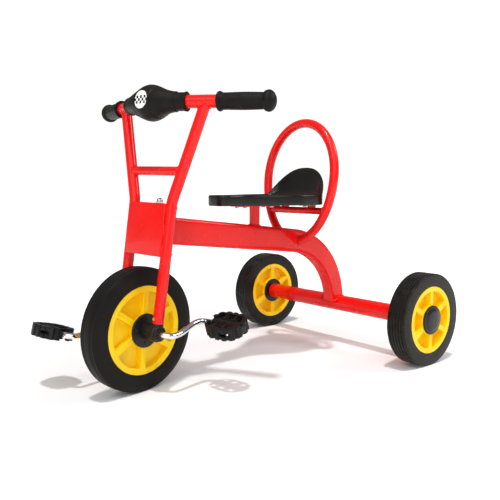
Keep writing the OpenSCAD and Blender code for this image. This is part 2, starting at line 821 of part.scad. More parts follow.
module king_pin() {
    low = head_mid - yoke_gap - plate_t;
    high = head_mid + yoke_gap + plate_t + 12;
    color(CHROME) in_fork() translate([-pin_offset, 0, 0]) {
        translate([0, 0, low - 0.1]) cylinder(h = high - low, r = king_pin_r);
        translate([0, 0, low - 6]) cylinder(h = 6, r = 9.2, $fn = 6);
    }
}

module king_pin_nut() {
    z = head_mid + yoke_gap + plate_t;
    color(CHROME) in_fork() translate([-pin_offset, 0, z]) difference() {
        union() {
            cylinder(h = 1.5, r = 10);
            translate([0, 0, 1.4]) cylinder(h = 7.1, r = 8.6, $fn = 6);
            translate([0, 0, 8.4]) cylinder(h = 2.6, r = 6.6);
            translate([0, 0, 10.9]) sphere(r = 6.5);
        }
        translate([0, 0, -past]) cylinder(h = 11.9 + past, r = king_pin_r);
    }
}

module bar_solid() {
    round_bar(bar_path, bar_normal, bar_r, 32);
}

module handlebar() {
    color(RED) in_fork() round_tube(bar_path, bar_normal, bar_r, tube_wall, 32);
}

// The bar's outer straight: Y runs along it from the bend outwards
module along_bar(side) {
    on_side(side)
        translate([bar_forward, 0, bar_h])
            rotate([0, bar_tilt, 0])
                translate([0, bar_mid, 0])
                    rotate([0, 0, bar_sweep])
                        children();
}

// Barrel that swells slightly, between an inner flange and a domed end knob
module grip(side) {
    end = bar_side_l + grip_end_t;
    inner = end - grip_l;
    barrel_r = bar_r + grip_wall;
    flange_r = bar_r + grip_flange;
    knob_r = bar_r + grip_knob;
    color(BLACK) in_fork() along_bar(side) difference() {
        turned_y([
            [0, inner], [flange_r - 1.5, inner], [flange_r, inner + 1.5],
            [flange_r, inner + 6], [barrel_r, inner + 9],
            [barrel_r + 0.6, inner + grip_l / 2 - 5], [barrel_r, end - 22],
            [knob_r - 1, end - 18], [knob_r, end - 14],
            [knob_r - 1, end - 7], [knob_r - 6, end - 2], [0, end]
        ]);
        rod_y(inner - past, bar_side_l + side_gap, bar_r);
    }
}

module grip_left() { grip(1); }

module grip_right() { grip(-1); }

// The round plate's seat lies this far inside the pad's front
roundel_sink = 7;

module bar_pad() {
    neck = bar_r + pad_neck_wall;
    color(BLACK) in_fork() difference() {
        union() {
            translate([bar_forward, 0, bar_h]) turned_y([
                [0, -pad_bulb_l], [neck + 1, -pad_bulb_l], [neck + 8, -pad_bulb_l + 14],
                [pad_d / 2 - 6, -24], [pad_d / 2 - 1.5, -12], [pad_d / 2, 0],
                [pad_d / 2 - 1.5, 12], [pad_d / 2 - 6, 24],
                [neck + 8, pad_bulb_l - 14], [neck + 1, pad_bulb_l], [0, pad_bulb_l]
            ]);
            for (side = [-1, 1]) along_bar(side) rod_y(4, 16 + pad_neck_l, neck);
        }
        bar_solid();
        translate([bar_forward + pad_d / 2 - roundel_sink, -roundel_d, bar_h - roundel_d])
            cube([roundel_d, 2 * roundel_d, 2 * roundel_d]);
    }
}

module pad_roundel() {
    color(WHITE) in_fork() translate([bar_forward + pad_d / 2 - roundel_sink, 0, bar_h])
        rotate([0, 90, 0]) cylinder(h = 1.6, r = roundel_d / 2);
}

module axle_housing(side) {
    spigot_r = leg_r - tube_wall - 0.2;
    color(BLACK) in_fork() on_side(side) difference() {
        union() {
            turned_y([
                [0, housing_start], [housing_r - 1, housing_start], [housing_r, housing_start + 1],
                [housing_r, housing_end - 2], [housing_r - 2, housing_end], [0, housing_end]
            ]);
            translate([0, leg_y, 0]) cylinder(h = leg_foot, r = leg_r - 0.5);
            translate([0, leg_y, 0]) cylinder(h = leg_foot + 30, r = spigot_r);
        }
        rod_y(housing_start - past, housing_end + past, bush_r);
    }
}

module axle_housing_left() { axle_housing(1); }

module axle_housing_right() { axle_housing(-1); }

// Small screws through the legs lock the housings
module housing_screws() {
    color(CHROME) in_fork() both_sides() translate([leg_r, leg_y, leg_foot + 9])
        rotate([0, 90, 0]) { cylinder(h = 2, r = 3); }
}

module axle_bushes() {
    color(BRASS) in_fork() both_sides()
        ring_y(housing_start + 2, bush_end, bush_r, crank_rod_r + run_gap);
}

// ---- front wheel and cranks ----

module front_tyre() {
    half = front_tyre_w / 2;
    rim = front_rim_d / 2;
    shoulder = 13;
    crown = 1.2;
    color(BLACK) in_fork() turned_y(concat(
        [[rim, -half + 1.5], [rim + 4, -half]],
        [for (a = [0:15:75]) other_side(shoulder_point(front_r - crown, half, shoulder, a))],
        [[front_r, -2], [front_r, 2]],
        [for (a = [75:-15:0]) shoulder_point(front_r - crown, half, shoulder, a)],
        [[rim + 4, half], [rim, half - 1.5]],
        [[rim, key_rib_w / 2], [rim + key_rib, key_rib_w / 2]],
        [[rim + key_rib, -key_rib_w / 2], [rim, -key_rib_w / 2]]
    ));
}

front_hub_r = 26;
flange_boss_r = crank_rod_r + 9;
hub_screw_circle = 23;
hub_screw_r = 2.2;
// Turn of the parked front wheel's spokes about the axle
rim_phase = 5;

module front_rim() {
    color(YELLOW) in_fork() difference() {
        rotate([0, rim_phase, 0])
            rim_body(front_rim_d / 2, front_rim_face, front_ring, front_spoke_w, front_hub_r);
        rod_y(-front_rim_face - past, front_rim_face + past, crank_rod_r);
    }
}

module hub_flange(side) {
    color(BLACK) in_fork() on_side(side) difference() {
        union() {
            rod_y(front_rim_face, flange_face, flange_r);
            rod_y(front_rim_face, housing_start - side_gap, flange_boss_r);
        }
        rod_y(front_rim_face - past, flange_face + past * 2, crank_rod_r);
    }
}

module hub_flange_left() { hub_flange(1); }

module hub_flange_right() { hub_flange(-1); }

module hub_screws() {
    color(CHROME) in_fork() both_sides() for (i = [0:3])
        rotate([0, 90 * i, 0]) translate([hub_screw_circle, 0, 0])
            rod_y(flange_face, flange_face + 1.6, hub_screw_r);
}

// Axle, two opposite cranks and the pedal spindles, bent from one rod
module crank_axle() {
    color(CHROME) in_fork() rotate([0, crank_rest, 0]) {
        rod_y(-bend_start - 0.5, bend_start + 0.5, crank_rod_r);
        crank_half();
        rotate([0, 0, 180]) crank_half();
    }
}

// Bends use a slightly larger rod so that no two surfaces run into each other tangentially
module crank_half() {
    swell = 0.06;
    translate([-crank_bend_r, bend_start, 0])
        rotate_extrude(angle = 90) translate([crank_bend_r, 0]) circle(r = crank_rod_r + swell);
    translate([-crank_r + crank_bend_r - 0.6, arm_y, 0]) rotate([0, 90, 0])
        cylinder(h = crank_r - 2 * crank_bend_r + 1.2, r = crank_rod_r);
    translate([-crank_r + crank_bend_r, spindle_start, 0])
        rotate([0, 0, 180]) rotate_extrude(angle = 90)
            translate([crank_bend_r, 0]) circle(r = crank_rod_r + swell);
    translate([-crank_r, 0, 0])
        rod_y(spindle_start - 0.6, pedal_start + pedal_l - 3 - side_gap, spindle_r);
}

module axle_washers() {
    color(BLACK) in_fork() both_sides()
        ring_y(bend_start - axle_washer_t, bend_start, bush_r + 0.5, crank_rod_r);
}

// ---- pedals ----

// Pedal's own frame: Y along the spindle from the pedal's middle, Z out of its face
module at_pedal(side, turn) {
    in_fork() rotate([0, crank_rest, 0]) translate([-side * crank_r, side * pedal_mid, 0])
        rotate([0, turn - crank_rest, 0]) rotate([0, 0, side > 0 ? 0 : 180]) children();
}

module at_left_pedal() { at_pedal(1, pedal_left_turn) children(); }

module at_right_pedal() { at_pedal(-1, pedal_right_turn) children(); }

function pedal_outline(inset) = [for (i = [0:47]) let (
    a = 360 * i / 48, c = cos(a), s = sin(a), p = 2 / 2.7
) [(pedal_w / 2 - inset) * sign(c) * pow(abs(c), p), (pedal_l / 2 - inset) * sign(s) * pow(abs(s), p)]];
barrel_r = spindle_r + 5.5;
pedal_recess_r = spindle_r + 3;
pedal_recess_d = 8;
pedal_rim = 9;
lug_d = 3.2;

module pedal_body() {
    half = pedal_l / 2;
    difference() {
        union() {
            linear_extrude(pedal_t, center = true) difference() {
                polygon(pedal_outline(0));
                polygon(pedal_outline(pedal_rim));
            }
            rod_y(-half + 4, half - 2, barrel_r);
            for (y = [-20, 0, 20]) translate([-pedal_w / 2 + 4, y - 3, -pedal_t / 2 + 3])
                cube([pedal_w - 8, 6, pedal_t - 6]);
        }
        rod_y(-half - past, half + past, spindle_r + run_gap);
        rod_y(half - pedal_recess_d, half + past, pedal_recess_r);
        pedal_side_slot(1);
        pedal_side_slot(-1);
        for (i = [0:pedal_lugs - 1]) let (a = 360 * (i + 0.5) / pedal_lugs) rotate([0, 0, a])
            translate([notch_reach(a), -2.5, -pedal_t]) cube([pedal_w, 5, 2 * pedal_t]);
    }
}

// Opening in the rim's side: near the outer end in front (way = 1), the inner end behind (-1)
module pedal_side_slot(way) {
    slot_l = pedal_l * 0.3;
    slot_h = 7;
    slot_off = 6;
    rotate([0, 0, way > 0 ? 0 : 180])
        translate([pedal_w / 2 - pedal_rim - past, slot_off, -slot_h / 2])
            cube([pedal_rim + 2 * past, slot_l, slot_h]);
}

// Distance from the pedal's middle to the floor of the notch at angle a
function notch_reach(a) = let (c = abs(cos(a)), s = abs(sin(a)), p = 2.7)
    pow(pow(c / (pedal_w / 2), p) + pow(s / (pedal_l / 2), p), -1 / p) - lug_d;

// Cap that closes the pedal's outer recess
module pedal_cap() {
    rod_y(pedal_l / 2 - 3, pedal_l / 2 + 1, pedal_recess_r);
}

module pedal_left() { color(BLACK) at_left_pedal() pedal_body(); }

module pedal_right() { color(BLACK) at_right_pedal() pedal_body(); }

module pedal_cap_left() { color(GREY) at_left_pedal() pedal_cap(); }

module pedal_cap_right() { color(GREY) at_right_pedal() pedal_cap(); }

// Nuts on the spindle ends, inside the pedals' outer recesses
module spindle_nuts() {
    y = pedal_start + pedal_l - pedal_recess_d + side_gap;
    color(CHROME) in_fork() rotate([0, crank_rest, 0]) for (s = [-1, 1])
        on_side(s) translate([-s * crank_r, 0, 0])
            ring_y(y, y + 4, pedal_recess_r - 0.6, spindle_r);
}

main_beam();
rear_axle_tube();
head_tube();
head_bush_upper();
head_bush_lower();
backrest_hoop();
hoop_cross_tube();
seat_post();
seat_plate();
seat_tabs();
seat();
seat_bolts();
rear_axle_rod();
axle_tube_plugs();
axle_lock_caps();
fork_leg_left();
fork_leg_right();
fork_crossbar();
front_panel();
yoke_upper();
yoke_lower();
king_pin();
king_pin_nut();
handlebar();
grip_left();
grip_right();
bar_pad();
pad_roundel();
axle_housing_left();
axle_housing_right();
housing_screws();
axle_bushes();
front_tyre();
front_rim();
hub_flange_left();
hub_flange_right();
hub_screws();
crank_axle();
axle_washers();
spindle_nuts();
pedal_left();
pedal_cap_left();
pedal_right();
pedal_cap_right();
rear_tyre_left();
rear_rim_left();
rear_bush_left();
hub_cap_left();
inner_disc_left();
rear_tyre_right();
rear_rim_right();
rear_bush_right();
hub_cap_right();
inner_disc_right();
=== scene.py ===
"""Child's pedal tricycle: the looks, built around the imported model. Metres, +X forward, +Z up."""
import json
import math

import bmesh
import bpy
from mathutils import Matrix, Vector


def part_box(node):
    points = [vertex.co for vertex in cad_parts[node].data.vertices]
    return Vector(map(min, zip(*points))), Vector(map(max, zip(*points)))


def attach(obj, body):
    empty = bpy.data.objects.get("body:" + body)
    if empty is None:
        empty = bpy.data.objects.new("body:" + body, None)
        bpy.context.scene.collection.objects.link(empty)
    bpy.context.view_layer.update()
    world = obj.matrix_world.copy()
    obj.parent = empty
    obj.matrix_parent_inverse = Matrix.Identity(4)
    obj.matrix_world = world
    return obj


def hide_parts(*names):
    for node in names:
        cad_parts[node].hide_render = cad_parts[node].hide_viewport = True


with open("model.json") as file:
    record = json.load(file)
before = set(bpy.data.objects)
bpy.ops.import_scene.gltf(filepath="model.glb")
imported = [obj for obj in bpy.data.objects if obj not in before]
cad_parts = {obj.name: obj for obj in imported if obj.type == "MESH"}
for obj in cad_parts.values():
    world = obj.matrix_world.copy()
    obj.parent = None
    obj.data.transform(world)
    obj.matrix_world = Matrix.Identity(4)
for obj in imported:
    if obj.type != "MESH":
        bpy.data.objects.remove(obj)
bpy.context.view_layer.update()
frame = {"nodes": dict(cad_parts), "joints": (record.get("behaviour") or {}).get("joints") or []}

MM = 0.001
JOINTS = {j["name"]: j for j in frame["joints"]}


def joint_point(name):
    return Vector(JOINTS[name]["pos_m"])


def joint_axis(name):
    return Vector(JOINTS[name]["axis"]).normalized()


# ---- places: each matrix takes millimetres in a sub-assembly's own frame to the model's metres ----

REAR_AXLE_X = joint_point("left_rear_wheel_spin").x
REAR_R = joint_point("left_rear_wheel_spin").z / MM
FRONT_R = joint_point("front_wheel_spin").z / MM

# Frame of the tricycle: X from the rear axle forward, Z from the ground up
TRIKE = Matrix.Translation((REAR_AXLE_X, 0, 0)) @ Matrix.Scale(MM, 4)


def turned_frame(origin, x_axis, y_axis, z_axis):
    turn = Matrix((x_axis, y_axis, z_axis)).transposed().to_4x4()
    return Matrix.Translation(origin) @ turn @ Matrix.Scale(MM, 4)


spin = joint_axis("front_wheel_spin")
steer = joint_axis("steer")
# Fork: origin at the front axle, Z up the steering axis, Y along the axle
FORK = turned_frame(joint_point("front_wheel_spin"), spin.cross(steer), spin, steer)


def about_y(degrees):
    return Matrix.Rotation(math.radians(degrees), 4, "Y")


CRANK_REST = 15
CRANKS = FORK @ about_y(CRANK_REST)
PEDAL_LEFT_TURN = 27
PEDAL_RIGHT_TURN = -5


def pedal_frame(joint, turn, flip):
    place = FORK.copy()
    place.translation = joint_point(joint)
    return place @ about_y(turn) @ Matrix.Rotation(math.radians(flip), 4, "Z")


PEDALS = {
    "left": pedal_frame("left_pedal_spin", PEDAL_LEFT_TURN, 0),
    "right": pedal_frame("right_pedal_spin", PEDAL_RIGHT_TURN, 180),
}
# Rear wheels: Y points out of the outer face
REAR_WHEELS = {
    "left": Matrix.Translation(joint_point("left_rear_wheel_spin")) @ Matrix.Scale(MM, 4),
    "right": Matrix.Translation(joint_point("right_rear_wheel_spin"))
    @ Matrix.Rotation(math.pi, 4, "Z")
    @ Matrix.Scale(MM, 4),
}

# ---- camera ----

CAMERA_FROM_REAR_AXLE = Vector((1.200, 1.057, 0.4085))
CAMERA_YAW = 229.448
CAMERA_PITCH = -5.999
CAMERA_LENS = 44.12
SENSOR_W = 36

camera_data = bpy.data.cameras.new("camera")
camera_data.lens = CAMERA_LENS
camera_data.sensor_width = SENSOR_W
camera = bpy.data.objects.new("camera", camera_data)
bpy.context.scene.collection.objects.link(camera)
yaw, pitch = math.radians(CAMERA_YAW), math.radians(CAMERA_PITCH)
looking = Vector((math.cos(pitch) * math.cos(yaw), math.cos(pitch) * math.sin(yaw), math.sin(pitch)))
camera.location = Vector((REAR_AXLE_X, 0, 0)) + CAMERA_FROM_REAR_AXLE
camera.rotation_euler = looking.to_track_quat("-Z", "Y").to_euler()
bpy.context.scene.camera = camera

# ---- materials ----


def colour(hex_code):
    """Linear RGBA from an sRGB hex value."""
    parts = [int(hex_code[i:i + 2], 16) / 255 for i in (0, 2, 4)]
    linear = [c / 12.92 if c <= 0.04045 else ((c + 0.055) / 1.055) ** 2.4 for c in parts]
    return (*linear, 1.0)


def add(tree, kind, inputs=None, **settings):
    """Adds one node; inputs maps a socket's name or index to a value or to an output socket."""
    node = tree.nodes.new(kind)
    for key, value in settings.items():
        setattr(node, key, value)
    for key, value in (inputs or {}).items():
        if isinstance(value, bpy.types.NodeSocket):
            tree.links.new(value, node.inputs[key])
        else:
            node.inputs[key].default_value = value
    return node


def per_mm(size):
    """Noise scale, in cycles per metre, of a grain of this many millimetres."""
    return 1 / (size * MM)


def start_material(name):
    material = bpy.data.materials.new(name)
    material.use_nodes = True
    tree = material.node_tree
    tree.nodes.clear()
    return material, tree, add(tree, "ShaderNodeTexCoord").outputs["Object"]


def finish_material(tree, looks):
    """Adds the shader, with looks as its inputs, and wires it to the output."""
    shader = add(tree, "ShaderNodeBsdfPrincipled", looks)
    add(tree, "ShaderNodeOutputMaterial", {"Surface": shader.outputs["BSDF"]})


def varied(tree, place, tones, tone_noise, gloss, gloss_noise, skins=(), spread=(0.3, 0.7)):
    """Shader inputs for a surface whose colour, roughness and height vary with noise.

    tones are two colours and gloss two roughnesses. A noise is a grain in millimetres, its detail
    and its roughness. A skin is a depth in millimetres and a noise, and the lowest skin comes
    first. spread is the span of the tone's noise from one colour to the other.
    """
    noises = {}
    for noise in (tone_noise, gloss_noise, *[skin[1] for skin in skins]):
        if noise not in noises:
            size, detail, roughness = noise
            noises[noise] = add(tree, "ShaderNodeTexNoise", {
                "Vector": place, "Scale": per_mm(size), "Detail": detail, "Roughness": roughness})
    share = add(tree, "ShaderNodeMapRange", {
        "Value": noises[tone_noise].outputs["Fac"], "From Min": spread[0], "From Max": spread[1]})
    tone = add(tree, "ShaderNodeMix", {
        "Factor": share.outputs["Result"], "A": colour(tones[0]), "B": colour(tones[1])},
        data_type="RGBA")
    rough = add(tree, "ShaderNodeMapRange", {
        "Value": noises[gloss_noise].outputs["Fac"], "From Min": 0.3, "From Max": 0.7,
        "To Min": gloss[0], "To Max": gloss[1]})
    under = {}
    for depth, noise in skins:
        skin = add(tree, "ShaderNodeBump", {
            "Height": noises[noise].outputs["Fac"], "Distance": depth * MM, "Strength": 1.0, **under})
        under = {"Normal": skin.outputs["Normal"]}
    return {"Base Color": tone.outputs["Result"], "Roughness": rough.outputs["Result"], **under}


# Powder coat on steel: polyester powder, baked. It flows to a gloss skin with a faint orange peel.
def make_red_powder_coat():
    material, tree, place = start_material("red_powder_coat_on_steel")
    peel, fine = (0.010, (3.2, 1.5, 0.5)), (0.002, (0.9, 1.0, 0.5))
    finish_material(tree, {
        **varied(tree, place, ("E30D0A", "EC1610"), (90, 1.0, 0.5), (0.20, 0.29), (25, 2.0, 0.5),
                 [peel, fine]),
        "IOR": 1.5, "Specular IOR Level": 0.28, "Coat Weight": 0.16, "Coat Roughness": 0.05})
    return material


# Polypropylene rim: injection moulded and self-coloured, so it is satin and a little translucent.
def make_yellow_polypropylene():
    material, tree, place = start_material("yellow_moulded_polypropylene")
    # Spark-eroded mould texture of about 0.2 mm, drawn at 0.6 mm so that it shows
    texture = (0.02, (0.6, 1.0, 0.5))
    finish_material(tree, {
        **varied(tree, place, ("FFCB04", "FFDA0C"), (40, 2.0, 0.5), (0.30, 0.42), (15, 2.0, 0.5),
                 [texture]),
        "IOR": 1.49, "Specular IOR Level": 0.3, "Subsurface Weight": 0.12,
        "Subsurface Radius": (1.0, 0.5, 0.12), "Subsurface Scale": 1.5 * MM})
    return material


# Solid rubber tyre: compression moulded with carbon black, so it is dark grey and softly shiny.
def make_tyre_rubber(name, dark, light, rough_low, rough_high):
    material, tree, place = start_material(name)
    bloom, pores = (22, 3.0, 0.5), (0.03, (0.8, 2.0, 0.5))
    finish_material(tree, {
        **varied(tree, place, (dark, light), bloom, (rough_low, rough_high), bloom, [pores]),
        "IOR": 1.52, "Specular IOR Level": 0.14})
    return material


# Thermoplastic rubber: moulded grips and pad, with a fine leather-like grain in the mould.
def make_grip_rubber():
    material, tree, place = start_material("black_moulded_grip_rubber")
    cells = add(tree, "ShaderNodeTexVoronoi", {"Vector": place, "Scale": per_mm(1.1)},
                feature="DISTANCE_TO_EDGE")
    height = add(tree, "ShaderNodeMapRange", {"Value": cells.outputs["Distance"], "From Max": 0.18})
    leather = add(tree, "ShaderNodeBump", {
        "Height": height.outputs["Result"], "Distance": 0.035 * MM, "Strength": 1.0})
    finish_material(tree, {
        **varied(tree, place, ("0E0D0B", "161412"), (18, 2.0, 0.5), (0.42, 0.54), (7, 2.0, 0.5)),
        "Normal": leather.outputs["Normal"], "IOR": 1.5, "Specular IOR Level": 0.16})
    return material


# ABS seat: injection moulded in a polished tool, with faint ripples and rub marks.
def make_seat_abs():
    material, tree, place = start_material("black_gloss_moulded_abs")
    swell, rub, ripple = (55, 1.0, 0.5), (4, 4.0, 0.7), (1.4, 1.0, 0.5)
    finish_material(tree, {
        **varied(tree, place, ("131211", "1A1917"), swell, (0.17, 0.27), rub,
                 [(0.25, swell), (0.008, ripple)]),
        "IOR": 1.54, "Specular IOR Level": 0.24, "Coat Weight": 0.15, "Coat Roughness": 0.08})
    return material


# Nylon with glass fibre: moulded hubs, housings, pedals and caps, satin with a speckled skin.
def make_moulded_nylon(name, dark, light, rough_low, rough_high):
    material, tree, place = start_material(name)
    speckle = (0.7, 3.0, 0.7)
    finish_material(tree, {
        **varied(tree, place, (dark, light), (12, 2.0, 0.5), (rough_low, rough_high), speckle,
                 [(0.02, speckle)]),
        "IOR": 1.53, "Specular IOR Level": 0.3})
    return material


# Chrome plate on bent rod: bright, with faint drawing lines along the steel under it.
def make_chrome():
    material, tree, place = start_material("chrome_plated_rod")
    haze, lines = (9, 3.0, 0.5), (0.01, (2.5, 1.0, 0.5))
    finish_material(tree, {
        **varied(tree, place, ("E4E5E8", "F2F2F4"), haze, (0.05, 0.13), haze, [lines]), "Metallic": 1.0})
    return material


# Zinc plate: bright passivated fasteners, slightly milky, with turning marks.
def make_zinc():
    material, tree, place = start_material("zinc_plated_steel")
    bloom, marks = (3, 3.0, 0.5), (0.01, (0.5, 2.0, 0.5))
    finish_material(tree, {
        **varied(tree, place, ("B9BBC0", "D5D6D8"), bloom, (0.22, 0.38), bloom, [marks]), "Metallic": 1.0})
    return material


# Black zinc plate: dark passivated screws, worn brighter in places.
def make_black_zinc():
    material, tree, place = start_material("black_zinc_plated_steel")
    wear, marks = (1.6, 3.0, 0.5), (0.01, (0.5, 2.0, 0.5))
    finish_material(tree, {
        **varied(tree, place, ("242426", "5A5A5E"), wear, (0.28, 0.42), wear, [marks], (0.4, 0.8)),
        "Metallic": 1.0})
    return material


# Brass bush: turned, with fine marks and a warm tarnish.
def make_brass():
    material, tree, place = start_material("turned_brass")
    tarnish, marks = (2.5, 3.0, 0.5), (0.008, (0.4, 1.0, 0.5))
    finish_material(tree, {
        **varied(tree, place, ("C8963C", "E2BC62"), tarnish, (0.2, 0.34), tarnish, [marks]), "Metallic": 1.0})
    return material


# Printed polycarbonate disc: white gloss with a band of black squares across its middle.
def make_roundel_print(half_width):
    material, tree, place = start_material("printed_polycarbonate_disc")
    own = add(tree, "ShaderNodeAttribute", attribute_name="disc_place")
    parts = add(tree, "ShaderNodeSeparateXYZ", {"Vector": own.outputs["Vector"]})
    # Three rows of squares in a band across the middle
    square = half_width * 0.3
    column = add(tree, "ShaderNodeMath", {0: parts.outputs["X"], 1: square}, operation="DIVIDE")
    row = add(tree, "ShaderNodeMath", {0: parts.outputs["Y"], 1: square}, operation="DIVIDE")
    cell = add(tree, "ShaderNodeCombineXYZ", {"X": column.outputs[0], "Y": row.outputs[0], "Z": 0.5})
    # Half a square further centres one on the disc; the hundred whole ones keep the count above zero
    moved = add(tree, "ShaderNodeVectorMath", {0: cell.outputs[0], 1: (100.5, 100.5, 0)})
    squares = add(tree, "ShaderNodeTexChecker", {"Vector": moved.outputs[0], "Scale": 1.0})
    height = add(tree, "ShaderNodeMath", {0: parts.outputs["Y"]}, operation="ABSOLUTE")
    band = add(tree, "ShaderNodeMath", {0: height.outputs[0], 1: 1.5 * square}, operation="LESS_THAN")
    both = add(tree, "ShaderNodeMath", {0: squares.outputs["Fac"], 1: band.outputs[0]},
               operation="MULTIPLY")
    ink = add(tree, "ShaderNodeMix", {
        "Factor": both.outputs[0], "A": colour("F4F4F2"), "B": colour("151515")}, data_type="RGBA")
    haze = add(tree, "ShaderNodeTexNoise", {
        "Vector": place, "Scale": per_mm(4), "Detail": 2.0, "Roughness": 0.5})
    rough = add(tree, "ShaderNodeMapRange", {
        "Value": haze.outputs["Fac"], "From Min": 0.3, "From Max": 0.7, "To Min": 0.14, "To Max": 0.24})
    finish_material(tree, {
        "Base Color": ink.outputs["Result"], "Roughness": rough.outputs["Result"], "IOR": 1.58})
    return material


ROUNDEL_R = 17.5
red_paint = make_red_powder_coat()
yellow_plastic = make_yellow_polypropylene()
front_rubber = make_tyre_rubber("front_tyre_solid_rubber", "100E0D", "191615", 0.44, 0.56)
rear_rubber = make_tyre_rubber("rear_tyre_solid_rubber", "1A1816", "24211D", 0.24, 0.34)
grip_rubber = make_grip_rubber()
seat_abs = make_seat_abs()
hub_nylon = make_moulded_nylon("black_glass_filled_nylon", "0F0F0E", "171716", 0.36, 0.5)
pedal_nylon = make_moulded_nylon("black_pedal_nylon", "060606", "0B0A0A", 0.4, 0.55)
cap_nylon = make_moulded_nylon("dark_grey_cap_nylon", "121213", "19191A", 0.26, 0.38)
chrome = make_chrome()
zinc = make_zinc()
black_zinc = make_black_zinc()
brass = make_brass()
roundel_print = make_roundel_print(ROUNDEL_R)

# ---- mesh tools; all sizes in millimetres ----

SMOOTH_BELOW = math.radians(32)


def fillet(points, radius, steps=4):
    """A closed outline with each corner rounded; radius is one number or one for each corner."""
    out = []
    n = len(points)
    for i, corner in enumerate(points):
        r = radius if isinstance(radius, (int, float)) else radius[i]
        c = Vector(corner)
        before = Vector(points[i - 1]) - c
        after = Vector(points[(i + 1) % n]) - c
        turn = before.angle(after)
        if r <= 0 or turn > math.radians(176):
            out.append(c)
            continue
        reach = min(r / math.tan(turn / 2), 0.48 * before.length, 0.48 * after.length)
        first = c + before.normalized() * reach
        last = c + after.normalized() * reach
        for k in range(steps + 1):
            t = k / steps
            out.append((1 - t) ** 2 * first + 2 * t * (1 - t) * c + t * t * last)
    return out


def mesh_from(name, bm, place=Matrix.Identity(4), recalc=True):
    """Closes a bmesh in millimetres into a mesh in metres."""
    if recalc:
        bmesh.ops.recalc_face_normals(bm, faces=bm.faces)
    for face in bm.faces:
        face.smooth = True
    mesh = bpy.data.meshes.new(name)
    bm.to_mesh(mesh)
    bm.free()
    mesh.transform(place)
    if place.determinant() < 0:
        mesh.flip_normals()
    mesh.set_sharp_from_angle(angle=SMOOTH_BELOW)
    return mesh


def add_lathe(bm, profile, steps=96, place=Matrix.Identity(4)):
    """Turns a closed outline of (radius, y) about the Y axis."""
    rings = []
    for k in range(steps):
        a = 2 * math.pi * k / steps
        ring = []
        for r, y in profile:
            if r < 1e-6 and rings:
                ring.append(rings[0][len(ring)])
            else:
                ring.append(bm.verts.new(place @ Vector((r * math.sin(a), y, r * math.cos(a)))))
        rings.append(ring)
    n = len(profile)
    for k in range(steps):
        one, two = rings[k], rings[(k + 1) % steps]
        for j in range(n):
            quad = [one[j], one[(j + 1) % n], two[(j + 1) % n], two[j]]
            corners = []
            for v in quad:
                if v not in corners:
                    corners.append(v)
            if len(corners) > 2 and bm.faces.get(corners) is None:
                bm.faces.new(corners)


def join_rings(bm, rings):
    """Faces from each ring of points to the next."""
    n = len(rings[0])
    for one, two in zip(rings, rings[1:]):
        for j in range(n):
            bm.faces.new([one[j], one[(j + 1) % n], two[(j + 1) % n], two[j]])


def add_sweep(bm, path, sections, side):
    """A solid bar: section k stands across the path at its point k; side is across the bend's plane."""
    rings = []
    for i, p in enumerate(path):
        ahead = (path[min(i + 1, len(path) - 1)] - path[max(i - 1, 0)]).normalized()
        across = (side - ahead * side.dot(ahead)).normalized()
        out = across.cross(ahead)
        rings.append([bm.verts.new(p + u * across + v * out) for u, v in sections[i]])
    join_rings(bm, rings)
    bm.faces.new(rings[0])
    bm.faces.new(rings[-1])


def add_prism(bm, outline, z0, z1, place=Matrix.Identity(4), bevel=0, bevel_steps=3):
    """An upright prism on a closed (x, y) outline, with its top and bottom edges rounded."""
    low = [bm.verts.new(place @ Vector((p[0], p[1], z0))) for p in outline]
    high = [bm.verts.new(place @ Vector((p[0], p[1], z1))) for p in outline]
    ends = [bm.faces.new(low), bm.faces.new(high)]
    join_rings(bm, [low, high])
    if bevel:
        edges = {e for f in ends for e in f.edges}
        bmesh.ops.bevel(bm, geom=list(edges), offset=bevel, segments=bevel_steps,
                        profile=0.5, affect="EDGES", clamp_overlap=True)


def circle(radius, count):
    return [(radius * math.cos(2 * math.pi * j / count), radius * math.sin(2 * math.pi * j / count))
            for j in range(count)]


def rounded_box(width, height, radius, steps=8):
    w, h = width / 2, height / 2
    return fillet([(w, -h), (w, h), (-w, h), (-w, -h)], radius, steps)


def piece(name, mesh, body, material, slot, *replaced):
    """A finished mesh becomes a piece that rides on a body."""
    obj = bpy.data.objects.new(name, mesh)
    bpy.context.scene.collection.objects.link(obj)
    if material is not None:
        mesh.materials.clear()
        mesh.materials.append(material)
    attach(obj, body)
    if replaced:
        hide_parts(*replaced)
    return obj


def scratch(mesh):
    obj = bpy.data.objects.new("scratch", mesh)
    bpy.context.scene.collection.objects.link(obj)
    return obj


def settle(obj):
    """The mesh that the object's modifiers make; the object is removed."""
    bpy.context.view_layer.update()
    graph = bpy.context.evaluated_depsgraph_get()
    mesh = bpy.data.meshes.new_from_object(obj.evaluated_get(graph))
    bpy.data.objects.remove(obj)
    return mesh


def combine(base, others, how):
    """Unites or cuts meshes that are each closed."""
    target = scratch(base)
    tools = [scratch(m) for m in others]
    for tool in tools:
        step = target.modifiers.new("combine", "BOOLEAN")
        step.operation = how
        step.solver = "MANIFOLD"
        step.object = tool
    mesh = settle(target)
    for tool in tools:
        bpy.data.objects.remove(tool)
    return mesh


def soften(mesh, width, steps=2, angle=35):
    """Rounds the edges of a mesh by width millimetres."""
    target = scratch(mesh)
    step = target.modifiers.new("soften", "BEVEL")
    step.width = width * MM
    step.segments = steps
    step.limit_method = "ANGLE"
    step.angle_limit = math.radians(angle)
    step.use_clamp_overlap = True
    soft = settle(target)
    for polygon in soft.polygons:
        polygon.use_smooth = True
    soft.set_sharp_from_angle(angle=SMOOTH_BELOW)
    return soft


# ---- geometry node trees ----


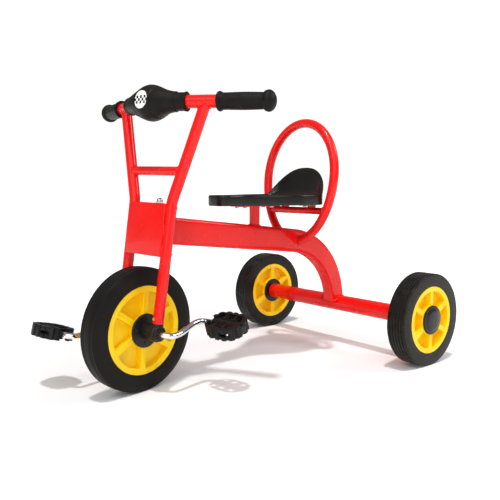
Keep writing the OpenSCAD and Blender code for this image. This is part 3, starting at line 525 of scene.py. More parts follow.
def new_tree(name, sockets):
    tree = bpy.data.node_groups.new(name, "GeometryNodeTree")
    tree.interface.new_socket("Geometry", in_out="INPUT", socket_type="NodeSocketGeometry")
    for label, kind in sockets:
        tree.interface.new_socket(label, in_out="INPUT", socket_type=kind)
    tree.interface.new_socket("Geometry", in_out="OUTPUT", socket_type="NodeSocketGeometry")
    return tree, add(tree, "NodeGroupInput"), add(tree, "NodeGroupOutput")


def run_tree(tree, mesh, **values):
    """Runs a tree on a mesh with named inputs and gives the plain mesh."""
    target = scratch(mesh)
    step = target.modifiers.new(tree.name, "NODES")
    step.node_group = tree
    for item in tree.interface.items_tree:
        label = item.name.lower().replace(" ", "_")
        if item.item_type == "SOCKET" and item.in_out == "INPUT" and label in values:
            step[item.identifier] = values[label]
    return settle(target)


def make_ring_tree():
    """Copies a piece a number of times round the Y axis: hub screws and rim pockets."""
    tree, given, result = new_tree("ring_of_copies", [
        ("Count", "NodeSocketInt"), ("Start Angle", "NodeSocketFloat"),
        ("Finish", "NodeSocketMaterial")])
    points = add(tree, "GeometryNodePoints", {"Count": given.outputs["Count"]})
    index = add(tree, "GeometryNodeInputIndex").outputs["Index"]
    step = add(tree, "ShaderNodeMath", {0: 2 * math.pi, 1: given.outputs["Count"]}, operation="DIVIDE")
    turn = add(tree, "ShaderNodeMath", {
        0: index, 1: step.outputs[0], 2: given.outputs["Start Angle"]}, operation="MULTIPLY_ADD")
    angles = add(tree, "ShaderNodeCombineXYZ", {"Y": turn.outputs[0]})
    spun = add(tree, "FunctionNodeEulerToRotation", {"Euler": angles.outputs[0]})
    copies = add(tree, "GeometryNodeInstanceOnPoints", {
        "Points": points.outputs["Points"], "Instance": given.outputs["Geometry"],
        "Rotation": spun.outputs["Rotation"]})
    real = add(tree, "GeometryNodeRealizeInstances", {"Geometry": copies.outputs["Instances"]})
    done = add(tree, "GeometryNodeSetMaterial", {
        "Geometry": real.outputs["Geometry"], "Material": given.outputs["Finish"]})
    tree.links.new(done.outputs["Geometry"], result.inputs["Geometry"])
    return tree


def make_weld_tree():
    """Lays a row of overlapping flattened beads along the edges of a mesh."""
    tree, given, result = new_tree("weld_bead", [
        ("Bead Radius", "NodeSocketFloat"), ("Pitch", "NodeSocketFloat"),
        ("Finish", "NodeSocketMaterial")])
    path = add(tree, "GeometryNodeMeshToCurve", {"Mesh": given.outputs["Geometry"]})
    even = add(tree, "GeometryNodeResampleCurve", {
        "Curve": path.outputs["Curve"], "Length": given.outputs["Pitch"]}, mode="LENGTH")
    bead = add(tree, "GeometryNodeMeshUVSphere", {
        "Segments": 10, "Rings": 6, "Radius": given.outputs["Bead Radius"]})
    along = add(tree, "GeometryNodeInputTangent").outputs["Tangent"]
    lean = add(tree, "FunctionNodeAlignRotationToVector", {"Vector": along}, axis="Z")
    flat = add(tree, "GeometryNodeInstanceOnPoints", {
        "Points": even.outputs["Curve"], "Instance": bead.outputs["Mesh"],
        "Rotation": lean.outputs["Rotation"], "Scale": (1.0, 1.0, 0.62)})
    real = add(tree, "GeometryNodeRealizeInstances", {"Geometry": flat.outputs["Instances"]})
    smooth = add(tree, "GeometryNodeSetShadeSmooth", {"Geometry": real.outputs["Geometry"]})
    done = add(tree, "GeometryNodeSetMaterial", {
        "Geometry": smooth.outputs["Geometry"], "Material": given.outputs["Finish"]})
    tree.links.new(done.outputs["Geometry"], result.inputs["Geometry"])
    return tree


def make_tube_tree():
    """A round tube with closed ends along the edges of a mesh."""
    tree, given, result = new_tree("round_tube", [
        ("Tube Radius", "NodeSocketFloat"), ("Sides", "NodeSocketInt"),
        ("Finish", "NodeSocketMaterial")])
    path = add(tree, "GeometryNodeMeshToCurve", {"Mesh": given.outputs["Geometry"]})
    section = add(tree, "GeometryNodeCurvePrimitiveCircle", {
        "Resolution": given.outputs["Sides"], "Radius": given.outputs["Tube Radius"]}, mode="RADIUS")
    tube = add(tree, "GeometryNodeCurveToMesh", {
        "Curve": path.outputs["Curve"], "Profile Curve": section.outputs["Curve"], "Fill Caps": True})
    smooth = add(tree, "GeometryNodeSetShadeSmooth", {"Geometry": tube.outputs["Mesh"]})
    real = add(tree, "GeometryNodeRealizeInstances", {"Geometry": smooth.outputs["Geometry"]})
    done = add(tree, "GeometryNodeSetMaterial", {
        "Geometry": real.outputs["Geometry"], "Material": given.outputs["Finish"]})
    tree.links.new(done.outputs["Geometry"], result.inputs["Geometry"])
    return tree


ring_tree = make_ring_tree()
weld_tree = make_weld_tree()
tube_tree = make_tube_tree()


def line_mesh(paths, place, closed=False):
    """A mesh of edges only, one run for each path."""
    verts, edges = [], []
    for path in paths:
        first = len(verts)
        verts += [place @ Vector(p) for p in path]
        count = len(path)
        edges += [(first + i, first + i + 1) for i in range(count - 1)]
        if closed:
            edges.append((first + count - 1, first))
    mesh = bpy.data.meshes.new("path")
    mesh.from_pydata(verts, edges, [])
    return mesh


def tube(name, path, radius, place, body, sides=32):
    mesh = run_tree(tube_tree, line_mesh([path], place),
                    tube_radius=radius * MM, sides=sides, finish=red_paint)
    mesh.set_sharp_from_angle(angle=SMOOTH_BELOW)
    return piece(name, mesh, body, None, "red_paint", name)


def weld(name, loops, bead, place, body):
    mesh = run_tree(weld_tree, line_mesh(loops, place, closed=True),
                    bead_radius=bead * MM, pitch=bead * 0.55 * MM, finish=red_paint)
    return piece(name, mesh, body, None, "red_paint")


def coped_loop(start, along, radius, meets, count=48):
    """Where a round tube first meets a surface; meets(point, direction) is the distance to it."""
    along = Vector(along).normalized()
    across = along.orthogonal().normalized()
    other = along.cross(across)
    loop = []
    for k in range(count):
        a = 2 * math.pi * k / count
        p = Vector(start) + radius * (math.cos(a) * across + math.sin(a) * other)
        loop.append(p + meets(p, along) * along)
    return loop


def to_tube(point, direction, radius):
    """Distance along a ray to a round tube."""
    point, direction = Vector(point), Vector(direction).normalized()

    def meets(p, d):
        a = d.cross(direction)
        b = (p - point).cross(direction)
        aa, ab, bb = a.dot(a), a.dot(b), b.dot(b) - radius ** 2
        inside = max(0.0, ab * ab - aa * bb)
        return (-ab - math.sqrt(inside)) / aa

    return meets


def to_plane(point, normal):
    point, normal = Vector(point), Vector(normal)

    def meets(p, d):
        return (point - p).dot(normal) / d.dot(normal)

    return meets


# ---- rear wheels ----

REAR_RIM_R = 76.0
REAR_RING = 10.5
REAR_HALF = 23.0
REAR_FACE = REAR_HALF - 0.5
WEB_HALF = 5.0
SPOKES = 6
POCKET_CORNER = 5.0
POCKET_FLOOR_ROUND = 1.6
TREAD_GROOVES = 5
GROOVE_W = 2.6
GROOVE_DEPTH = 2.2
SHOULDER = 4.0
HUB_CAP_R = 33.5


def rear_tyre_profile():
    """Flat sides, rounded shoulders and straight grooves round the tread."""
    half = REAR_HALF
    flat = half - SHOULDER
    pitch = 2 * flat / TREAD_GROOVES
    points = [(REAR_RIM_R - 0.4, -half + 0.8), (REAR_RIM_R + 1.4, -half), (REAR_R, -half)]
    radii = [0, 1.0, SHOULDER]
    floor = REAR_R - GROOVE_DEPTH
    for i in range(TREAD_GROOVES):
        middle = -flat + (i + 0.5) * pitch
        points += [(REAR_R, middle - GROOVE_W / 2), (floor, middle - GROOVE_W / 2 + 0.5),
                   (floor, middle + GROOVE_W / 2 - 0.5), (REAR_R, middle + GROOVE_W / 2)]
        radii += [0.9, 0.5, 0.5, 0.9]
    points += [(REAR_R, half), (REAR_RIM_R + 1.4, half), (REAR_RIM_R - 0.4, half - 0.8)]
    radii += [SHOULDER, 1.0, 0]
    return fillet(points, radii)


def pocket_cutter(inner_r, outer_r, spoke_w, floor, reach):
    """The space between two spokes, as a solid that points along +Y; sides are parallel to the spokes."""
    half_sector = math.pi / SPOKES
    outline = []
    steps = 14
    for r, order in ((outer_r, 1), (inner_r, -1)):
        half = half_sector - math.asin(spoke_w / 2 / r)
        run = [(-half + 2 * half * k / steps) * order for k in range(steps + 1)]
        outline += [(r * math.sin(a), r * math.cos(a)) for a in run]
    rounded = fillet(outline, POCKET_CORNER, 4)
    bm = bmesh.new()
    # The prism stands on Z, then its Z is laid along Y
    laid = Matrix.Rotation(math.radians(-90), 4, "X")
    low = [bm.verts.new(laid @ Vector((x, -z, floor))) for x, z in rounded]
    high = [bm.verts.new(laid @ Vector((x, -z, reach))) for x, z in rounded]
    floor_face = bm.faces.new(low)
    bm.faces.new(high)
    join_rings(bm, [low, high])
    bmesh.ops.bevel(bm, geom=list(floor_face.edges), offset=POCKET_FLOOR_ROUND, segments=3,
                    profile=0.5, affect="EDGES", clamp_overlap=True)
    return mesh_from("pocket", bm)


def rim_mesh(name, rim_r, ring, face, hub_r, hub_face, spoke_w, phase, place, hub_bore):
    """A disc with rounded edges and a pocket between each two spokes, on both faces."""
    bm = bmesh.new()
    add_lathe(bm, fillet([
        (hub_bore, -hub_face), (hub_r, -hub_face), (hub_r + 0.01, -face + 0.6), (rim_r - ring, -face + 0.6),
        (rim_r - ring + 1.5, -face), (rim_r + 0.6, -face), (rim_r + 0.6, face), (rim_r - ring + 1.5, face),
        (rim_r - ring, face - 0.6), (hub_r + 0.01, face - 0.6), (hub_r, hub_face), (hub_bore, hub_face)],
        [0.5, 0.8, 0, 0, 0.8, 0.8, 0.8, 0.8, 0, 0, 0.8, 0.5]), 144)
    disc = mesh_from(name, bm)
    cutters = []
    for side in (0, 180):
        pocket = pocket_cutter(hub_r + 4, rim_r - ring, spoke_w, WEB_HALF, face + 6)
        pocket.transform(Matrix.Rotation(math.radians(side), 4, "X"))
        start = math.pi / SPOKES + math.radians(phase)
        cutters.append(run_tree(ring_tree, pocket, count=SPOKES, start_angle=start,
                                finish=yellow_plastic))
    cut = combine(disc, cutters, "DIFFERENCE")
    cut.transform(place)
    return soften(cut, 0.9, 3, 50)


def make_rear_wheel(side):
    place = REAR_WHEELS[side]
    body = f"{side}_rear_wheel"
    bm = bmesh.new()
    add_lathe(bm, rear_tyre_profile(), 192)
    piece(f"rear_tyre_{side}", mesh_from("tyre", bm, place), body, rear_rubber, "black_rubber",
          f"rear_tyre_{side}")
    rim = rim_mesh("rear_rim", REAR_RIM_R, REAR_RING, REAR_FACE, hub_r=30, hub_face=REAR_FACE + 0.4,
                   spoke_w=10.5, phase=0, place=place, hub_bore=20)
    piece(f"rear_rim_{side}", rim, body, yellow_plastic, "yellow_plastic", f"rear_rim_{side}")
    # Domed cap with a stepped edge
    top = REAR_FACE
    cap_r = HUB_CAP_R
    bm = bmesh.new()
    add_lathe(bm, fillet([
        (0, top - 3), (cap_r - 1, top - 3), (cap_r, top + 2.2), (cap_r - 2.6, top + 3.4),
        (cap_r - 5.5, top + 3.6), (cap_r * 0.62, top + 5.9), (cap_r * 0.3, top + 6.9),
        (0, top + 7)], [0, 1, 1.4, 0.8, 2.5, 6, 6, 0]), 96)
    piece(f"hub_cap_{side}", mesh_from("cap", bm, place), body, cap_nylon, "cap_plastic",
          f"hub_cap_{side}")
    bm = bmesh.new()
    add_lathe(bm, fillet([
        (6.4, -top - 3), (14, -top - 3), (15, -top - 2), (cap_r - 4, -top - 2),
        (cap_r - 0.5, -top - 1.2), (cap_r - 0.5, -top), (6.4, -top)], 0.5), 96)
    piece(f"inner_disc_{side}", mesh_from("disc", bm, place), body, hub_nylon, "black_plastic",
          f"inner_disc_{side}")


for wheel_side in ("left", "right"):
    make_rear_wheel(wheel_side)

# ---- front wheel ----

FRONT_RIM_R = 89.0
FRONT_RING = 12.0
FRONT_HALF = 21.0
FRONT_FACE = FRONT_HALF - 2
# The tread is an arc of this radius across the tyre, with lines at these distances from its middle
CROWN_R = 118.0
TREAD_LINES = (7.5, 11.0, 14.5)
RIM_PHASE = 5
FLANGE_R = 34.0
FLANGE_FACE = FRONT_FACE + 4
HUB_SCREWS = 4
HUB_SCREW_CIRCLE = 23.0
HUB_SCREW_R = 2.2


def front_tyre_profile():
    """Crowned tread with three fine lines at each shoulder."""
    half = FRONT_HALF

    def crown(y):
        return FRONT_R - (CROWN_R - math.sqrt(CROWN_R ** 2 - y * y))

    right = [(FRONT_RIM_R - 0.4, half - 2.2), (FRONT_RIM_R + 2.5, half - 0.6), (FRONT_RIM_R + 6, half)]
    radii = [0, 0.8, 4]
    right += [(FRONT_R - 13, half), (crown(half - 3.6) + 0.6, half - 2.4)]
    radii += [9, 6]
    for y in reversed(TREAD_LINES):
        right += [(crown(y + 0.8), y + 0.8), (crown(y) - 0.9, y + 0.15),
                  (crown(y) - 0.9, y - 0.15), (crown(y - 0.8), y - 0.8)]
        radii += [0.3, 0, 0, 0.3]
    right += [(crown(3), 3)]
    radii += [0]
    left = [(r, -y) for r, y in reversed(right)]
    return fillet(right + left, radii + radii[::-1], 6)


bm = bmesh.new()
add_lathe(bm, front_tyre_profile(), 192)
piece("front_tyre", mesh_from("tyre", bm, FORK), "front_wheel", front_rubber, "black_rubber", "front_tyre")
front_rim = rim_mesh("front_rim", FRONT_RIM_R, FRONT_RING, FRONT_FACE, hub_r=26, hub_face=FRONT_FACE,
                     spoke_w=12, phase=RIM_PHASE, place=FORK, hub_bore=7)
piece("front_rim", front_rim, "front_wheel", yellow_plastic, "yellow_plastic", "front_rim")


def mirrored(matrix, side):
    return matrix @ Matrix.Scale(-1, 4, (0, 1, 0)) if side == "right" else matrix


HOUSING_R = 16.7
HOUSING_START = FLANGE_FACE + 1
HOUSING_END = 64.0
LEG_Y = 54.0
LEG_R = 11.0
LEG_FOOT = HOUSING_R + 2.5
FLANGE_BORE = 6.2

for side in ("left", "right"):
    place = mirrored(FORK, side)
    bm = bmesh.new()
    add_lathe(bm, fillet([
        (FLANGE_BORE, FRONT_FACE), (FLANGE_R, FRONT_FACE), (FLANGE_R, FLANGE_FACE), (16, FLANGE_FACE),
        (15, HOUSING_START - 0.5), (FLANGE_BORE, HOUSING_START - 0.5)], [0, 0.4, 1.2, 0.6, 0.3, 0]), 96)
    piece(f"hub_flange_{side}", mesh_from("flange", bm, place), "front_wheel", hub_nylon,
          "black_plastic", f"hub_flange_{side}")

# Pan-head screws with a cross recess, on both flanges
HEAD_H = 1.6
CROSS_L = 2.6
CROSS_W = 0.6
bm = bmesh.new()
for flip in (1, -1):
    base = Matrix.Translation((0, 0, HUB_SCREW_CIRCLE))
    profile = fillet([(0, FLANGE_FACE - 0.5), (HUB_SCREW_R, FLANGE_FACE - 0.5),
                      (HUB_SCREW_R, FLANGE_FACE + 0.7), (HUB_SCREW_R - 0.8, FLANGE_FACE + HEAD_H),
                      (0, FLANGE_FACE + HEAD_H)], [0, 0, 0.3, 0.6, 0], 3)
    add_lathe(bm, [(r, y * flip) for r, y in profile], 20, base)
screw = mesh_from("screw", bm)
slots = bmesh.new()
for flip in (1, -1):
    y = flip * (FLANGE_FACE + 1.5)
    for wide, tall in ((CROSS_L, CROSS_W), (CROSS_W, CROSS_L)):
        bmesh.ops.create_cube(slots, size=1, matrix=Matrix.Translation((0, y, HUB_SCREW_CIRCLE))
                              @ Matrix.Diagonal((wide, 1.4, tall, 1)))
screw = combine(screw, [mesh_from("slots", slots)], "DIFFERENCE")
screws = run_tree(ring_tree, screw, count=HUB_SCREWS, start_angle=math.pi / 2, finish=black_zinc)
screws.transform(FORK)
piece("hub_screws", screws, "front_wheel", None, "black_zinc", "hub_screws")

# ---- cranks ----

CRANK_R = 104.0
ROD_R = 6.0
SPINDLE_R = 5.0
BEND_R = 16.0
BEND_START = 68.5
ARM_Y = BEND_START + BEND_R
SPINDLE_START = ARM_Y + BEND_R
PEDAL_START = SPINDLE_START + 0.5
PEDAL_L = 84.0
SPINDLE_END = PEDAL_START + PEDAL_L - 3.5


def arc(centre, start, finish, radius, steps=10):
    """Points in the XY plane about a centre, angles in degrees from +X."""
    return [centre + radius * Vector((math.cos(math.radians(a)), math.sin(math.radians(a)), 0))
            for a in [start + (finish - start) * k / steps for k in range(steps + 1)]]


half_rod = [Vector((0, 0, 0)), Vector((0, BEND_START * 0.5, 0))]
half_rod += arc(Vector((-BEND_R, BEND_START, 0)), 0, 90, BEND_R)
ARM_STEPS = 16
ARM_L = CRANK_R - 2 * BEND_R
half_rod += [Vector((-BEND_R - ARM_L * k / ARM_STEPS, ARM_Y, 0)) for k in range(1, ARM_STEPS)]
half_rod += [Vector((-CRANK_R + BEND_R, SPINDLE_START, 0)) + BEND_R * Vector((
    -math.sin(math.radians(a)), -math.cos(math.radians(a)), 0)) for a in range(0, 91, 9)]
half_rod += [Vector((-CRANK_R, SPINDLE_START + 1, 0)), Vector((-CRANK_R, SPINDLE_START + 1.6, 0)),
             Vector((-CRANK_R, SPINDLE_END - 1, 0)), Vector((-CRANK_R, SPINDLE_END, 0))]
# Each arm is pressed into a shallow S on its way out to the spindle
ARM_SWAY = 5.0
for p in half_rod:
    p.z -= ARM_SWAY * math.sin(2 * math.pi * min(1.0, max(0.0, -p.x / CRANK_R)))
rod = [-p for p in reversed(half_rod)] + half_rod[1:]
bm = bmesh.new()
last = len(half_rod) - 1
rod_radii = [ROD_R if i < last - 2 else (SPINDLE_R if i < last else SPINDLE_R - 0.8)
             for i in range(last + 1)]
rod_radii = rod_radii[::-1] + rod_radii[1:]
add_sweep(bm, rod, [circle(r, 32) for r in rod_radii], Vector((0, 0, 1)))
piece("crank_axle", mesh_from("crank", bm, CRANKS), "front_wheel", chrome, "chrome", "crank_axle")

# ---- pedals ----

PEDAL_W = 70.0
PEDAL_T = 24.0
PEDAL_RIM = 9.0
# Exponent of the pedal's oval: 2 is an ellipse, and more is squarer
OVAL_POWER = 2.7
PLATE_SINK = 6.0
LUGS = 14
LUG_GAP = 5.0
LUG_DEPTH = 3.4
LUG_ROUND = 1.6
BARREL_R = 10.5
RIB_PLACES = (-19, 5)
RIB_W = 5
SLOT_X = 20
SLOT_PLACES = (-28, -4, 20)
SLOT_W = 10
SLOT_L = 13
SIDE_OPENING_Y = 18.6
SIDE_OPENING_L = 25.2
SIDE_OPENING_H = 7
MOUTH_HALF = 9
MOUTH_L = 11
MOUTH_RISE = 5.5


def oval(inset, count=96):
    """A full oval, squarer than an ellipse."""
    out = []
    power = 2 / OVAL_POWER
    for k in range(count):
        a = 2 * math.pi * k / count
        c, s = math.cos(a), math.sin(a)
        out.append(((PEDAL_W / 2 - inset) * math.copysign(abs(c) ** power, c),
                    (PEDAL_L / 2 - inset) * math.copysign(abs(s) ** power, s)))
    return out


def lug_notch(edge):
    """The gap between two lugs, which opens out towards the pedal's edge so that the lugs are round."""
    start, mouth, half_gap = edge - LUG_DEPTH, edge - LUG_ROUND, LUG_GAP / 2
    open_x, past_x, wide = mouth + 7, mouth + 12, LUG_GAP / 2 + 12
    return fillet([(start, -half_gap), (mouth, -half_gap), (open_x, -wide), (past_x, -wide),
                   (past_x, wide), (open_x, wide), (mouth, half_gap), (start, half_gap)],
                  [1.2, 2.5, 0, 0, 0, 0, 2.5, 1.2], 4)


def pedal_mesh(place):
    """Notched oval rim, a sunk plate with slots, the barrel and a round outer boss."""
    bm = bmesh.new()
    add_prism(bm, oval(0), -PEDAL_T / 2, PEDAL_T / 2, bevel=2.4)
    shell = mesh_from("pedal", bm)
    cuts = bmesh.new()
    for z in (1, -1):
        low, high = sorted((z * (PEDAL_T / 2 - PLATE_SINK), z * (PEDAL_T / 2 + 5)))
        add_prism(cuts, oval(PEDAL_RIM), low, high)
    sunk = combine(shell, [mesh_from("sink", cuts)], "DIFFERENCE")
    bm = bmesh.new()
    half = PEDAL_L / 2
    add_lathe(bm, fillet([(0, -half + 1.5), (9, -half + 1.5), (BARREL_R, -half + 4), (BARREL_R, half - 18),
                          (BARREL_R + 1.5, half - 15), (BARREL_R + 1.5, half - 3), (BARREL_R - 1, half),
                          (0, half)], [0, 1, 1, 1, 1, 2, 2, 0]), 40)
    barrel = mesh_from("barrel", bm)
    ribs = bmesh.new()
    for y in RIB_PLACES:
        for x in (-1, 1):
            x0, x1 = sorted((x * 8, x * (PEDAL_W / 2 - 6)))
            add_prism(ribs, fillet([(x0, y), (x1, y), (x1, y + RIB_W), (x0, y + RIB_W)], 1.5, 2),
                      -PEDAL_T / 2 + 2.5, PEDAL_T / 2 - 2.5, bevel=1.0, bevel_steps=2)
    body = combine(sunk, [barrel, mesh_from("ribs", ribs)], "UNION")
    # Three slots through the plate on each side of the barrel
    cuts = bmesh.new()
    for x in (SLOT_X, -SLOT_X):
        left, right = x - SLOT_W / 2, x + SLOT_W / 2
        for y in SLOT_PLACES:
            near, far = y - SLOT_L / 2, y + SLOT_L / 2
            add_prism(cuts, fillet([(left, near), (right, near), (right, far), (left, far)], 2.5, 3),
                      -PEDAL_T, PEDAL_T)
    for k in range(LUGS):
        a = 2 * math.pi * (k + 0.5) / LUGS
        c, s = abs(math.cos(a)), abs(math.sin(a))
        inverse = (c / (PEDAL_W / 2)) ** OVAL_POWER + (s / (PEDAL_L / 2)) ** OVAL_POWER
        edge = inverse ** (-1 / OVAL_POWER)
        add_prism(cuts, lug_notch(edge), -PEDAL_T, PEDAL_T, Matrix.Rotation(a, 4, "Z"))
    # A round-ended opening in each side of the rim, near the outer end in front
    sides = bmesh.new()
    for turn in (0, 180):
        lying = Matrix.Rotation(math.radians(turn), 4, "Z") @ about_y(90)
        opening = rounded_box(SIDE_OPENING_H, SIDE_OPENING_L, 3.0, 4)
        add_prism(sides, [(p[0], p[1] + SIDE_OPENING_Y) for p in opening],
                  PEDAL_W / 2 - PEDAL_RIM - 1, PEDAL_W / 2 + 5, lying)
    holes = bmesh.new()
    bore = SPINDLE_R + 0.4
    add_lathe(holes, [(0, -half - 5), (bore, -half - 5), (bore, half - 8), (8, half - 8), (8, half + 5),
                      (0, half + 5)], 40)
    # An open mouth above and below the spindle at the inner end
    back, front = -half - 5, -half + MOUTH_L
    mouth = fillet([(-MOUTH_HALF, back), (MOUTH_HALF, back), (MOUTH_HALF, front), (-MOUTH_HALF, front)], 3, 3)
    for low, high in ((MOUTH_RISE, PEDAL_T), (-PEDAL_T, -MOUTH_RISE)):
        add_prism(holes, mouth, low, high)
    tools = [mesh_from(label, tool) for label, tool in (("cuts", cuts), ("holes", holes), ("sides", sides))]
    cut = combine(body, tools, "DIFFERENCE")
    cut.transform(place)
    return soften(cut, 0.5, 2, 40)


for side in ("left", "right"):
    body = f"{side}_pedal"
    piece(f"pedal_{side}", pedal_mesh(PEDALS[side]), body, pedal_nylon, "pedal_plastic", f"pedal_{side}")
    bm = bmesh.new()
    end = PEDAL_L / 2
    add_lathe(bm, fillet([(0, end - 3), (7.9, end - 3), (7.9, end), (6.2, end + 1), (0, end + 1)],
                         [0, 0, 0.8, 0.6, 0], 3), 48)
    piece(f"pedal_cap_{side}", mesh_from("cap", bm, PEDALS[side]), body, cap_nylon, "cap_plastic",
          f"pedal_cap_{side}")

# ---- fork ----

BEND_H = 257.0
BAR_H = 444.0
BAR_R = 12.5
BAR_FORWARD = 29.0
BAR_MID = 42.0
BAR_SWEEP = 21.5
BAR_TILT = 7.0
BAR_SIDE_L = 207.0
LEG_TOP_Y = 117.0
CROSSBAR_H = 316.0
CROSSBAR_R = 9.0
PANEL_TOP = BEND_H - 5
PANEL_H = 104.0
PLATE_T = 4.0
LEG_BEND_R = 55.0
BAR_BEND_R = 70.0

leg_low = Vector((0, LEG_Y, LEG_FOOT))
leg_bend = Vector((0, LEG_Y + 1.5, BEND_H))
bar_turn = math.radians(BAR_SWEEP)
# The bar lies in a plane that rises towards the rider
bar_plane = Matrix.Translation((BAR_FORWARD, 0, BAR_H)) @ about_y(BAR_TILT)
leg_top = bar_plane @ Vector((-(LEG_TOP_Y - BAR_MID) * math.tan(bar_turn), LEG_TOP_Y, 0))


def bent(points, radius, steps=10):
    """A path of straight runs with each inner corner bent to a radius."""
    out = [points[0]]
    for before, corner, after in zip(points, points[1:], points[2:]):
        a = (before - corner).normalized()
        b = (after - corner).normalized()
        half = a.angle(b) / 2
        centre = corner + (a + b).normalized() * radius / math.sin(half)
        start = corner + a * radius / math.tan(half) - centre
        finish = corner + b * radius / math.tan(half) - centre
        whole = start.angle(finish)
        axis = start.cross(finish).normalized()
        out += [centre + Matrix.Rotation(whole * k / steps, 3, axis) @ start for k in range(steps + 1)]
    out.append(points[-1])
    return out


for side in ("left", "right"):
    place = mirrored(FORK, side)
    tube(f"fork_leg_{side}", bent([leg_low, leg_bend, leg_top], LEG_BEND_R), LEG_R, place, "steering", 40)
share = (CROSSBAR_H - leg_bend.z) / (leg_top.z - leg_bend.z)
cross_end = leg_bend.lerp(leg_top, share)
tube("fork_crossbar", [Vector((cross_end.x, -cross_end.y, CROSSBAR_H)), cross_end], CROSSBAR_R, FORK,
     "steering")

along_bar = bar_plane @ Matrix.Translation((0, BAR_MID, 0)) @ Matrix.Rotation(bar_turn, 4, "Z")
bar_corner = along_bar.translation.copy()
bar_end = along_bar @ Vector((0, BAR_SIDE_L, 0))
bar_out = (bar_end - bar_corner).normalized()


def other_side(v):
    return Vector((v.x, -v.y, v.z))


bar_points = [other_side(bar_end), other_side(bar_corner), bar_corner, bar_end]
tube("handlebar", bent(bar_points, BAR_BEND_R, 12), BAR_R, FORK, "steering", 48)

# Welds at the crossbar and at the tops of the legs; a bead's middle line lies just off the tube
WELD_RISE = 0.3
leg_way = (leg_top - leg_bend).normalized()
leg_line = (leg_bend, leg_way, bar_corner, bar_out)
loops = []
for flip, line in ((1, leg_line), (-1, [other_side(v) for v in leg_line])):
    bend, way, corner, out = line
    loops.append(coped_loop((cross_end.x, 0, CROSSBAR_H), (0, flip, 0), CROSSBAR_R + WELD_RISE,
                            to_tube(bend, way, LEG_R)))
    loops.append(coped_loop(bend, way, LEG_R + WELD_RISE, to_tube(corner, out, BAR_R)))
weld("fork_welds", loops, 1.9, FORK, "steering")

# Front panel: sheet with rolled edges, welded over the legs
bm = bmesh.new()
panel_y = LEG_Y - 1.5
panel_place = FORK @ Matrix.Translation((LEG_R - 1, 0, PANEL_TOP - PANEL_H / 2)) @ about_y(90)
add_prism(bm, fillet([(-PANEL_H / 2, -panel_y), (PANEL_H / 2, -panel_y), (PANEL_H / 2, panel_y),
                      (-PANEL_H / 2, panel_y)], 3.0, 4), 0, PLATE_T, panel_place)
panel = soften(mesh_from("panel", bm), 1.4, 3, 60)
piece("front_panel", panel, "steering", red_paint, "red_paint", "front_panel")
# Three short welds down each edge of the panel, each of five points
SEAM_STEP = 4
seam = [Vector((LEG_R - 0.8, LEG_Y - 2.2, PANEL_TOP - SEAM_STEP - k * SEAM_STEP)) for k in range(25)]
edge_welds = [seam[i:i + 5] for i in (0, 10, 20)]
edge_welds += [[other_side(p) for p in run] for run in edge_welds]
mesh = run_tree(weld_tree, line_mesh(edge_welds, FORK), bead_radius=1.7 * MM, pitch=1.0 * MM,
                finish=red_paint)
piece("panel_welds", mesh, "steering", None, "red_paint")

# ---- axle housings ----

HOUSING_BORE = 8.5

for side in ("left", "right"):
    place = mirrored(FORK, side)
    bm = bmesh.new()
    add_lathe(bm, fillet([
        (HOUSING_BORE, HOUSING_START), (HOUSING_R - 1, HOUSING_START), (HOUSING_R, HOUSING_START + 2),
        (HOUSING_R, HOUSING_END - 7), (HOUSING_R - 1.6, HOUSING_END - 5.5), (HOUSING_R - 1.6, HOUSING_END),
        (HOUSING_BORE, HOUSING_END)], [0, 0.8, 0.8, 0.8, 0.5, 1.6, 0.4]), 80)
    barrel = mesh_from("housing", bm)
    bm = bmesh.new()
    upright = Matrix.Translation((0, LEG_Y, 0)) @ Matrix.Rotation(math.radians(90), 4, "X")
    add_lathe(bm, fillet([(0, 12), (LEG_R, 12), (LEG_R, LEG_FOOT), (0, LEG_FOOT)],
                         [0, 0, 0.6, 0]), 48, upright)
    collar = mesh_from("collar", bm)
    housing = combine(barrel, [collar], "UNION")
    housing.transform(place)
    if side == "right":
        housing.flip_normals()
    housing = soften(housing, 0.8, 3, 40)
    piece(f"axle_housing_{side}", housing, "steering", hub_nylon, "black_plastic", f"axle_housing_{side}")

# ---- grips and pad ----

GRIP_L = 112.0
GRIP_R = 15.5
GRIP_FLANGE_R = 19.0
GRIP_KNOB_R = 20.0
GRIP_KNOB_L = 14.0
GRIP_PAST_BAR = 10.0
grip_inner = BAR_SIDE_L - GRIP_L + GRIP_PAST_BAR
grip_end = BAR_SIDE_L + GRIP_PAST_BAR


def grip_profile():
    """Round flange, slightly barrelled grip, domed end knob."""
    start, end = grip_inner, grip_end
    points = [(BAR_R + 0.1, start), (GRIP_FLANGE_R - 1.5, start), (GRIP_FLANGE_R, start + 3.5),
              (GRIP_FLANGE_R - 1.5, start + 7), (GRIP_R + 0.4, start + 8)]
    radii = [0.5, 2.0, 2.6, 2.0, 1.2]
    span = end - 24 - (start + 10)
    for k in range(1, 8):
        y = start + 10 + span * k / 8
        points.append((GRIP_R + 0.9 * math.sin(math.pi * k / 8), y))
        radii.append(8)
    points += [(GRIP_R, end - 22), (18.4, end - 20.5)]
    radii += [1.0, 2.0]
    for k in range(7):
        a = math.radians(15 * k)
        points.append((GRIP_KNOB_R * math.cos(a), end - GRIP_KNOB_L + GRIP_KNOB_L * math.sin(a)))
        radii.append(0 if k in (0, 6) else 3)
    points += [(0, end - 6), (BAR_R + 0.1, end - 6)]
    radii += [0, 0]
    return fillet(points, radii, 5)


for side in ("left", "right"):
    place = mirrored(FORK, side)
    bm = bmesh.new()
    add_lathe(bm, grip_profile(), 72)
    piece(f"grip_{side}", mesh_from("grip", bm, place @ along_bar), "steering", grip_rubber,
          "grip_rubber", f"grip_{side}")

